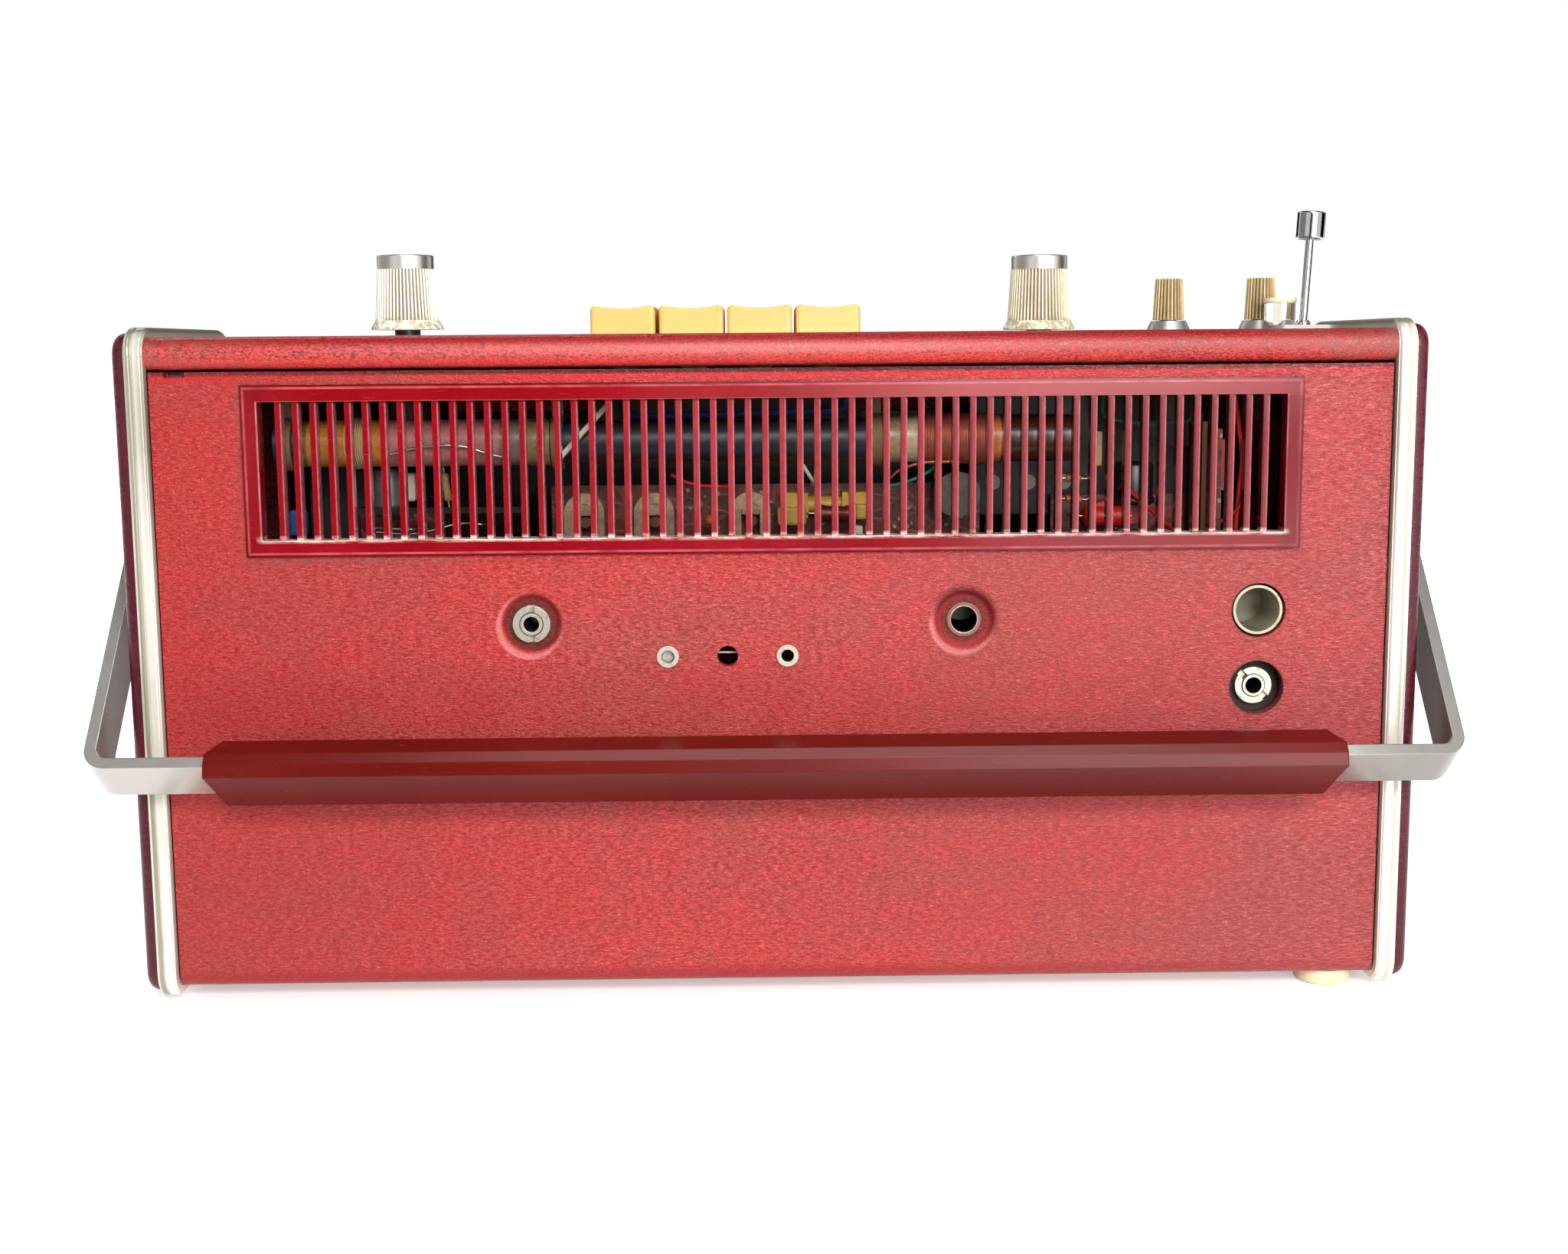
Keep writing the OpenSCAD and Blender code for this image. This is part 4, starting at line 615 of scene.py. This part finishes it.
def front_ivory():
    """Ivory plastic of the front panel, darkened by painted shade inside the cabinet."""
    f = plastic("front_ivory", "#E9E0CC", 0.34, "#B9A67F", 0.25, edge=0.3)
    # Painted shade on the panel's parts inside the cabinet
    f.set("Base Color", f.mix(f.band(f.axis("Y"), -10.0, 77.0, 0.1), "#E9E0CC", "#1B1613"))
    return f


def woven_cloth():
    f = plastic("speaker_cloth", "#4A3A2A", 0.9)
    f.bump(f.cells((0.7, 0.7, 0.7), "F1"), 0.15)
    return f


def washer_metal():
    f = metal("antenna_washer", "#8C8A86", 0.34, "#4E4A42", 0.4, metallic=0.5, edge=0.2)
    f.set("Specular IOR Level", 0.2)
    return f


def wires_finish():
    """Insulation colours of the leads, told apart by where they run."""
    f = Finish("lead_sleeves", "#34488C", 0.38)
    x = f.axis("X")
    z = f.axis("Z")
    c = f.mix(f.band(x, -52.0, -36.5, 0.05), "#34488C", "#E6DAC6")
    by_tuner = f.band(x, 74.0, 99.5, 0.05)
    c = f.mix(f.product(by_tuner, f.band(z, 126.0, 150.0, 0.05)), c, "#2F6248")
    c = f.mix(f.product(by_tuner, f.band(z, 100.0, 126.0, 0.05)), c, "#B3261C")
    f.set("Base Color", f.mix(f.band(x, 100.5, 115.0, 0.05), c, "#D02A1C"))
    f.bump(f.noise(1.2, 3.0), 0.02)
    return f


def finishes():
    """The finish of every node of the model."""
    cheek = leather("cheek_leather", "#541722", "#5E1D2B", "#3A0D18", "#4C141E", 1.0, 0.05, 0.3, 0.3)
    trim = metallised_trim()
    steel = dull_steel()
    chrome = metal("chrome", "#BDBDBA", 0.1, "#6E685C", 0.25, edge=0.25)
    nickel = bored("nickel", "#CFC8B8", [(*LEFT_JACK, 1.9), (*RIGHT_JACK, 1.9)], 0.3, 2.6, 0.75)
    holders = plastic("holder_fibre", "#8A7048", 0.6, "#4F3C22", 0.4)
    keys = plastic("key_ivory", "#EFBC70", 0.24, "#C08E3C", 0.2, 0.12, 7.0, 0.4)
    return {
        "cabinet_shell": roll_leather(),
        "left_cheek": cheek,
        "right_cheek": cheek,
        "left_trim": trim,
        "right_trim": trim,
        "back_cover": cover_leather(),
        "back_grille": red_frame(),
        "front_panel": front_ivory(),
        "dial_scale": plastic("dial_black", "#15181A", 0.3),
        "dial_window": clear("clear_window", "#F4F4F0", 0.03, 1.2),
        "speaker_grille": metal("champagne_grille", "#CFC3A6", 0.34, "#8C7F63", 0.3, (14, 1, 1), 6.0),
        "control_plate": metal("control_aluminium", "#CFCBC2", 0.36, "#8F8772", 0.15, (12, 1, 1), 5.0, 0.85),
        "feet": plastic("pale_rubber", "#F2E2BC", 0.7, "#A89468", 0.4),
        "speaker_cloth": woven_cloth(),
        "speaker_frame": steel,
        "speaker_cone": plastic("paper_cone", "#2B2622", 0.85),
        "chassis": steel,
        "circuit_board": circuit(),
        "trimmer_coils": banded("coil_cans", "Z", [(0, "#BE9A78"), (111.5, "#D2AE8A")], 0.5, 0.45),
        "small_capacitors": banded("small_parts", "X", [
            (-200, "#A57A3A"), (-60, "#C29A4F"), (0, "#D8A93C"), (30, "#9A4A1C"), (70, "#C8402A"),
            (84, "#B0241E")], 0.4),
        "can_capacitors": banded("capacitor_cans", "X", [
            (-200, "#7C7972"), (20, "#54493C"), (60, "#C23A26")], 0.32, 0.35, 0.2),
        "ferrite_rod": plastic("ferrite", "#2F3138", 0.42, "#1A1A1D", 0.5),
        "left_coil_former": banded("left_former", "X", [
            (-130, "#4A4238"), (-110, "#7A6632"), (-106, "#D88A34"), (-88.7, "#CC847C"),
            (-62.4, "#8E7C6E"), (-57.2, "#9C8258")], 0.3, 0.35),
        "right_coil_former": banded("right_former", "X", [
            (0, "#B89C74"), (29, "#DCC79E"), (34.2, "#DC8A70"), (49.2, "#DC8440"), (51.9, "#4E2A1E")],
            0.3, 0.35),
        "left_winding": plastic("litz_wire", "#D9C79B", 0.6, "#9C8152", 0.3),
        "right_winding": metal("enamelled_copper", "#CC7458", 0.36, "#8A4228", 0.4, metallic=0.45),
        "rod_holders": holders,
        "tuning_capacitor": banded("tuner_frame", "Y", [(-50, "#6E675E"), (30.7, "#262320")], 0.3, 0.3, 0.7),
        "potentiometers": metal("control_cans", "#4E4636", 0.5, "#2A241A", 0.5, metallic=0.6),
        "key_switch": plastic("switch_body", "#3A261A", 0.5, "#1F130C", 0.4),
        "battery_tray": plastic("battery_tray", "#3A3029", 0.55, "#1E1915", 0.4),
        "batteries": banded("cell_sleeves", "X", [(-200, "#3C4C62"), (-61, "#3C4C62")], 0.35, 0.15),
        "left_jack": nickel,
        "right_jack": nickel,
        "aerial_socket": socket_nickel(),
        "cover_eyelets": rivet_nickel(),
        "antenna_plate": washer_metal(),
        "clear_post": clear_post(),
        "antenna_tube": chrome,
        "hookup_wires": wires_finish(),
        "shaft_bushings": plastic("blackened_bush", "#12100E", 0.6),
        "tone_collars": metal("satin_collar", "#BDBBB6", 0.34, "#6E6A60", 0.3, edge=0.2),
        "handle_pivots": chrome,
        "pointer_rail": chrome,
        "handle_bail": bail_metal(),
        "handle_grip": grip_finish(),
        "volume_knob": ivory_knob("volume_ivory", VOLUME_X, 1.6, "#F6EFDF", "#E6DABA"),
        "tuning_knob": ivory_knob("tuning_ivory", TUNING_X, 0.5, "#E6DCC2", "#C9BA92"),
        "volume_cap": spun("volume_cap_metal", VOLUME_X),
        "tuning_cap": spun("tuning_cap_metal", TUNING_X),
        "tuning_drum": holders,
        "dial_pointer": plastic("pointer_red", "#C8321E", 0.35),
        "left_tone_knob": tone_knob("left_tone", LEFT_TONE_X),
        "right_tone_knob": tone_knob("right_tone", RIGHT_TONE_X),
        "key_1": keys,
        "key_2": keys,
        "key_3": keys,
        "key_4": keys,
        "antenna_middle": chrome,
        "antenna_tip": chrome,
    }


def dress(nodes):
    """Puts each node's finish on it."""
    table = finishes()
    for name, obj in nodes.items():
        obj.data.materials.clear()
        obj.data.materials.append(table[name].material)
    return table


def keep(obj, finish, body="cabinet"):
    """Gives a new piece its finish and the body that it rides on."""
    obj.data.materials.clear()
    obj.data.materials.append(finish.material)
    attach(obj, body)
    return obj


def mesh_object(name, mesh):
    obj = bpy.data.objects.new(name, mesh)
    bpy.context.scene.collection.objects.link(obj)
    return obj


def mesh_of(name, bm):
    """The mesh of what was modelled; ends the modelling."""
    mesh = bpy.data.meshes.new(name)
    bm.to_mesh(mesh)
    bm.free()
    return mesh


def turned(name, profile, base, direction, finish, steps=32):
    """A piece turned about an axis: profile is a row of (radius, height)."""
    bm = bmesh.new()
    rings = []
    for radius, height in profile:
        ring = []
        for i in range(steps):
            a = 2 * math.pi * i / steps
            ring.append(bm.verts.new((radius * MM * math.cos(a), radius * MM * math.sin(a), height * MM)))
        rings.append(ring)
    for low, high in zip(rings, rings[1:]):
        for i in range(steps):
            j = (i + 1) % steps
            bm.faces.new((low[i], low[j], high[j], high[i]))
    bm.faces.new(list(reversed(rings[0])))
    bm.faces.new(rings[-1])
    for face in bm.faces:
        face.smooth = len(face.verts) == 4
    mesh = mesh_of(name, bm)
    turn = Vector((0, 0, 1)).rotation_difference(Vector(direction)).to_matrix().to_4x4()
    mesh.transform(Matrix.Translation(at(*base)) @ turn)
    return keep(mesh_object(name, mesh), finish)


def block(name, low, high, finish, edge):
    """A block between two corners with rounded edges."""
    bm = bmesh.new()
    bmesh.ops.create_cube(bm, size=1.0)
    middle = (at(*low) + at(*high)) / 2
    size = at(*high) - at(*low)
    for v in bm.verts:
        v.co = middle + v.co * size
    bmesh.ops.bevel(bm, geom=list(bm.edges), offset=edge * MM, segments=2, affect="EDGES", profile=0.5)
    return keep(mesh_object(name, mesh_of(name, bm)), finish)


def strand(name, points, thickness, finish, smooth=True, sides=2):
    """A wire along a row of points."""
    curve = bpy.data.curves.new(name, "CURVE")
    curve.dimensions = "3D"
    curve.bevel_depth = thickness / 2 * MM
    curve.bevel_resolution = sides
    curve.resolution_u = 8
    if smooth:
        line = curve.splines.new("BEZIER")
        line.bezier_points.add(len(points) - 1)
        for p, q in zip(line.bezier_points, points):
            p.co = at(*q)
            p.handle_left_type = "AUTO"
            p.handle_right_type = "AUTO"
    else:
        line = curve.splines.new("POLY")
        line.points.add(len(points) - 1)
        for p, q in zip(line.points, points):
            p.co = [*at(*q), 1]
    curve.use_fill_caps = True
    return keep(mesh_object(name, curve), finish)


def resistor(name, start, end, thickness, finish, wire):
    """A small part with rounded shoulders and a wire at each end."""
    a = Vector(start)
    b = Vector(end)
    along = (b - a).normalized()
    length = (b - a).length
    r = thickness / 2
    profile = [(r * 0.55, 0), (r * 0.95, length * 0.05), (r, length * 0.16), (r * 0.88, length * 0.26),
               (r * 0.86, length * 0.74), (r, length * 0.84), (r * 0.95, length * 0.95), (r * 0.55, length)]
    turned(name, profile, start, along, finish, 20)
    for number, (tip, way) in enumerate(((a, -along), (b, along)), 1):
        far = tip + way * 2.0
        points = [tip - way * 0.4, tip + way * 1.2, far, far + Vector((0, 6.5, 0))]
        strand(f"{name}_lead_{number}", points, 0.5, wire)


def inside(mats):
    """Wires and small parts seen through the louvres."""
    tin = metal("tinned_wire", "#C8C3B4", 0.3, "#7A705C", 0.4)
    tan = plastic("tan_body", "#B99A63", 0.45, "#7A5F34", 0.4)
    grey = metal("grey_can", "#8C8E8C", 0.4, "#4F4C44", 0.4, None, 3.0, 0.6)
    yellow = plastic("yellow_block", "#C9A63A", 0.42, "#7C5F1C", 0.35)
    maroon = plastic("dark_red_tube", "#6E1E17", 0.35, "#3A0E0A", 0.3)
    blue = plastic("blue_part", "#3B5FA8", 0.4, "#22345E", 0.3)
    cream = plastic("cream_part", "#E6DCC4", 0.45, "#A38C62", 0.3)
    orange = plastic("orange_bead", "#D06A2C", 0.38, "#7E3414", 0.3)
    black = plastic("black_can", "#1D1A19", 0.3, "#3B332C", 0.3)
    red = plastic("red_sleeve", "#D02A1E", 0.4)
    teal = plastic("teal_sleeve", "#2C7E78", 0.4)
    brown = plastic("brown_board", "#6F4326", 0.55, "#3B2111", 0.4)
    copper = mats["right_winding"]

    strand("aerial_lead", [(-87.1, 9, 125.7), (-81.2, 8.6, 127.1), (-75.4, 8.4, 127.7), (-70.1, 8.6, 127.4),
                           (-65.6, 9, 126.0), (-61.8, 9.6, 124.9)], 0.7, tin)
    strand("thin_lead_1", [(-93.8, 20, 108.2), (-88, 19, 107.9), (-83.3, 20, 107.8), (-83.3, 28, 107.8)],
           0.6, tin)
    strand("thin_lead_2", [(-92.8, 20, 107.1), (-84, 19.4, 106.7), (-72.3, 20, 109.0), (-67.6, 20, 108.7),
                           (-67.6, 28, 108.7)], 0.6, tin)
    resistor("left_resistor", (-76.6, 20, 120.8), (-75.8, 20, 114.2), 2.0, tan, tin)
    block("pale_upright", (-86.4, 20, 114.2), (-83.4, 23, 120.8), cream, 0.6)
    turned("grey_can", [(3.0, 0), (3.6, 0.4), (3.7, 1.2), (3.4, 1.5), (3.4, 8.6), (3.0, 9.4), (0.6, 9.6)],
           (-90, 22, 112.5), (0, 0, 1), grey)
    block("blue_part", (-113.2, 20, 106.3), (-109.0, 23, 112.4), blue, 0.8)
    strand("dark_lead", [(-40.6, 12, 125.1), (-36, 11.6, 126.2), (-31.0, 11.4, 126.6), (-24.6, 12, 125.8),
                         (-19.6, 12.6, 124.3), (-16.0, 13.4, 123.2)],
           0.9, mats["shaft_bushings"])
    strand("red_lead_1", [(-24.0, 22, 119.8), (-19.7, 21, 117.8), (-10.9, 21.4, 116.9), (-9.6, 28, 116.6)],
           0.9, red)
    strand("white_lead", [(6.7, 13, 122.3), (7.7, 12.4, 120.6), (8.8, 14, 118.8), (9, 28, 117)],
           0.9, cream)
    turned("orange_bead", [(0.7, 0), (1.35, 0.4), (1.6, 1.2), (1.35, 2.0), (0.7, 2.4)], (-14.8, 22, 107.9),
           (0, 0, 1), orange, 20)
    face = (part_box("trimmer_coils")[0].y - BACK) / MM
    for number, x in enumerate((-44.6, -28.2, -5.5), 1):
        block(f"coil_bridge_{number}", (x - 2.15, face + 0.35, 110.1), (x + 2.15, face + 3.6, 112.95),
              mats["trimmer_coils"], 0.3)
        turned(f"coil_slug_{number}", [(0.6, 0), (1.5, 0.2), (1.6, 1.6), (1.2, 2.4)],
               (x + 0.2, face + 3.4, 108.5), (0, -1, 0), brown, 18)
    block("yellow_block_1", (0.8, 20, 107.7), (7.6, 25, 112.0), yellow, 0.7)
    resistor("dark_red_tube", (10.0, 21, 110.5), (18.4, 21, 110.3), 4.2, maroon, tin)
    block("yellow_block_2", (18.9, 20, 109.0), (22.8, 24, 112.6), yellow, 0.6)
    block("cream_chip", (18.8, 20.5, 105.2), (20.8, 22.5, 107.5), cream, 0.4)
    strand("copper_lead", [(26.6, 10.5, 119.4), (28.2, 9.6, 120.9), (29.8, 9.2, 121.7), (33.6, 9, 122.8),
                           (39.9, 9.6, 123.0)], 0.6, copper)
    strand("teal_lead", [(26.7, 18, 116.9), (31.6, 17.6, 118.2), (36.0, 18, 120.3), (38, 19, 122)],
           0.9, teal)
    resistor("bead_1", (68.2, 20, 118.3), (71.8, 20, 118.2), 1.8, orange, tin)
    resistor("bead_2", (68.2, 20, 113.5), (72.0, 20, 113.3), 1.8, orange, tin)
    resistor("red_tube", (72.6, 21, 109.3), (82.2, 21, 109.2), 5.4, red, tin)
    turned("black_can", [(4.2, 0), (4.9, 0.5), (5.0, 1.4), (4.5, 1.8), (4.5, 9.0), (4.0, 9.9), (0.6, 10.1)],
           (84.4, 21.5, 112.0), (0, 0, 1), black, 40)
    block("tan_strip", (75.0, 18, 121.2), (76.3, 18.8, 129.2), tan, 0.2)
    strand("red_arc", [(108.2, 15.5, 127.5), (109.2, 14.8, 123), (109.1, 14.6, 119.4), (108.8, 15, 114.6),
                       (107.7, 15.6, 111.3), (103.0, 17, 107.4)], 0.8, red)
    block("brown_edge", (98.6, 14, 105.5), (99.9, 27.9, 131.5), brown, 0.2)


def fine_winding(name, node, turns, thickness, finish):
    """Closely wound wire in the place of a coil's coarser turns."""
    low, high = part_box(node)
    middle = (low + high) / 2
    radius = (high.z - low.z) / 2 / MM - thickness / 2
    start = low.x / MM + thickness / 2
    end = high.x / MM - thickness / 2
    y = (middle.y - BACK) / MM
    z = middle.z / MM
    per_turn = 24
    steps = turns * per_turn
    points = []
    for i in range(steps + 1):
        a = 2 * math.pi * i / per_turn
        x = start + (end - start) * i / steps
        points.append((x, y + radius * math.cos(a), z + radius * math.sin(a)))
    wire = strand(name, points, thickness, finish, smooth=False, sides=1)
    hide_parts(node)


def dial_marks():
    """Plain numbers and ticks on the dial; the sizes here are in metres."""
    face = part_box("dial_scale")[1].y
    low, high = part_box("dial_window")
    middle_x = (low.x + high.x) / 2
    middle_z = (low.z + high.z) / 2
    half = (high.x - low.x) / 2 - 0.006
    pale = plastic("dial_print", "#EDE3C4", 0.5)
    green = plastic("dial_print_green", "#9CC7A2", 0.5)
    rows = ((0.0018, (150, 170, 200, 230, 260, 300, 350), green),
            (-0.0048, (530, 600, 700, 850, 1000, 1250, 1600), pale))
    upright = Matrix.Rotation(math.pi, 4, "Z") @ Matrix.Rotation(math.pi / 2, 4, "X")
    for row, (level, numbers, ink) in enumerate(rows, 1):
        for i, number in enumerate(numbers):
            x = middle_x + half * (1 - 2 * (i + 0.5) / len(numbers))
            text = bpy.data.curves.new(f"dial_number_{row}_{i + 1}", "FONT")
            text.body = str(number)
            text.size = 0.0034
            text.extrude = 0.00004
            text.align_x = "CENTER"
            obj = mesh_object(text.name, text)
            obj.matrix_world = Matrix.Translation((x, face + 0.00006, middle_z + level)) @ upright
            keep(obj, ink)

    # Ticks, every sixth one taller, and the line through them, as (x, width, height)
    ticks = [(middle_x + half * (1 - i / 42), 0.00022, 0.0009 if i % 6 else 0.0016) for i in range(85)]
    bm = bmesh.new()
    for x, width, height in ticks + [(middle_x, 2 * half, 0.0002)]:
        middle = Matrix.Translation((x, face + 0.00004, middle_z - 0.0006))
        bmesh.ops.create_cube(bm, size=1.0, matrix=middle @ Matrix.Diagonal((width, 0.00008, height, 1)))
    keep(mesh_object("dial_ticks", mesh_of("dial_ticks", bm)), pale)


def card(name, place, width, height, power):
    """A soft lamp that looks at the middle of the radio; its place and size are in metres."""
    light = bpy.data.lights.new(name, "AREA")
    light.shape = "RECTANGLE"
    light.size = width
    light.size_y = height
    light.energy = power
    obj = mesh_object(name, light)
    obj.location = from_cover(*place)
    aim = from_cover(0, 0.04, 0.085)
    obj.rotation_euler = (aim - obj.location).to_track_quat("-Z", "Y").to_euler()


def flag(name, start, end, rise, through=False, glow=0.0):
    """A dark card that shows only in reflections, as round a product on a studio table.

    Its lower edge runs from start to end, in metres, and rise leads to its upper edge.
    """
    low = [from_cover(*start), from_cover(*end)]
    high = [corner + Vector(rise) for corner in reversed(low)]
    mesh = bpy.data.meshes.new(name)
    mesh.from_pydata(low + high, [], [(0, 1, 2, 3)])
    f = Finish(name, "#030303", 0.9, Specular_IOR_Level=0.0)
    f.set("Emission Color", (1, 1, 1, 1))
    f.set("Emission Strength", glow)
    mesh.materials.append(f.material)
    obj = mesh_object(name, mesh)
    obj.visible_camera = False
    obj.visible_diffuse = False
    obj.visible_shadow = False
    obj.visible_transmission = through


def sky():
    """A world that lights the radio softly, and is white for the camera, in mirrors and through glass."""
    world = bpy.data.worlds.new("studio")
    bpy.context.scene.world = world
    world.use_nodes = True
    n = Nodes(world.node_tree)
    n.tree.nodes.clear()
    white = (1, 1, 1, 1)
    light = n.node("ShaderNodeBackground", {"Color": white, "Strength": 0.34}).outputs[0]
    backdrop = n.node("ShaderNodeBackground", {"Color": white, "Strength": 1.0}).outputs[0]
    shown = n.node("ShaderNodeMixShader", {0: n.seen(), 1: light, 2: backdrop}).outputs[0]
    n.node("ShaderNodeOutputWorld", {0: shown})


def floor():
    """A white floor that keeps the radio's shadow and runs out into the white backdrop."""
    bm = bmesh.new()
    bmesh.ops.create_grid(bm, x_segments=2, y_segments=2, size=6.0)
    mesh = mesh_of("floor", bm)
    f = Finish("floor", "#FFFFFF", 0.9)
    f.set("Emission Color", (1, 1, 1, 1))
    far = f.fade(f.distance((0, 40, 0), "XY"), 260.0, 620.0, interpolation_type="SMOOTHSTEP")
    f.set("Emission Strength", f.product(f.seen(), f.plus(0.4, far, 0.6)))
    mesh.materials.append(f.material)
    mesh_object("floor", mesh)


def studio():
    """Lamps, dark cards, sky and floor."""
    card("key_light", (0.5, -1.33, 0.5), 0.75, 0.8, 12.6)
    card("fill_light", (0.14, -1.0, 0.66), 0.5, 0.26, 8.0)
    card("top_light", (0.05, -0.45, 1.2), 0.7, 0.3, 3.5)
    card("front_light", (-0.5, 1.5, 0.8), 1.0, 0.8, 12.0)
    flag("flag_ceiling", (-1.2, -0.3, 1.3), (1.2, -0.3, 1.3), (0, 1.5, -0.2))
    flag("flag_behind", (-1.2, 1.2, 0.02), (1.2, 1.2, 0.02), (0, 0, 0.88))
    flag("flag_left", (-1.1, -0.7, 0), (-1.1, 0.7, 0), (0, 0, 0.9), True, 0.35)
    flag("flag_right", (1.2, -0.3, 0), (1.2, 0.7, 0), (0, 0, 0.9), True)
    flag("flag_low", (-1.1, -1.3, 0.001), (0.15, -1.3, 0.001), (0, 1.18, 0))
    flag("flag_above", (-1.2, -1.3, 0.75), (-0.16, -1.3, 0.75), (0, 1.0, 0.55), False, 0.22)
    flag("flag_front", (-0.46, -1.3, 0), (-0.1, -1.3, 0), (0, 0, 0.75))
    sky()
    floor()


def camera():
    """The photograph's viewpoint, solved from the object's edges."""
    yaw, pitch, roll = [math.radians(a) for a in (0.797, 8.242, 0.455)]
    forward = Vector((math.sin(yaw) * math.cos(pitch), math.cos(yaw) * math.cos(pitch), -math.sin(pitch)))
    right = Vector((math.cos(yaw), -math.sin(yaw), 0))
    down = forward.cross(right)
    side = math.cos(roll) * right + math.sin(roll) * down
    under = -math.sin(roll) * right + math.cos(roll) * down
    data = bpy.data.cameras.new("camera")
    data.sensor_width = 36
    data.lens = 43.945
    data.clip_start = 0.01
    cam = mesh_object("camera", data)
    turn = Matrix((side, -under, -forward)).transposed().to_4x4()
    cam.matrix_world = Matrix.Translation(at(-4.1, -426.5, 148.5)) @ turn
    bpy.context.scene.camera = cam


BACK = None
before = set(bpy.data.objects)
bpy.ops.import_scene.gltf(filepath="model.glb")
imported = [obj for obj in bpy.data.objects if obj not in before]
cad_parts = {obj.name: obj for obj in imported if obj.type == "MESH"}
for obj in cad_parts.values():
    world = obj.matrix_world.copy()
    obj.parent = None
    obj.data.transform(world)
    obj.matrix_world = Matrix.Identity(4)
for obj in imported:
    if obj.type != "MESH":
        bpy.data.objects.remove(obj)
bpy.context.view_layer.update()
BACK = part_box("back_cover")[0].y

mats = dress(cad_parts)
fine_winding("cream_coil", "left_winding", 10, 0.34, mats["left_winding"])
fine_winding("copper_coil", "right_winding", 42, 0.34, mats["right_winding"])
inside(mats)
dial_marks()
studio()
camera()
bpy.context.scene.view_settings.view_transform = "Standard"
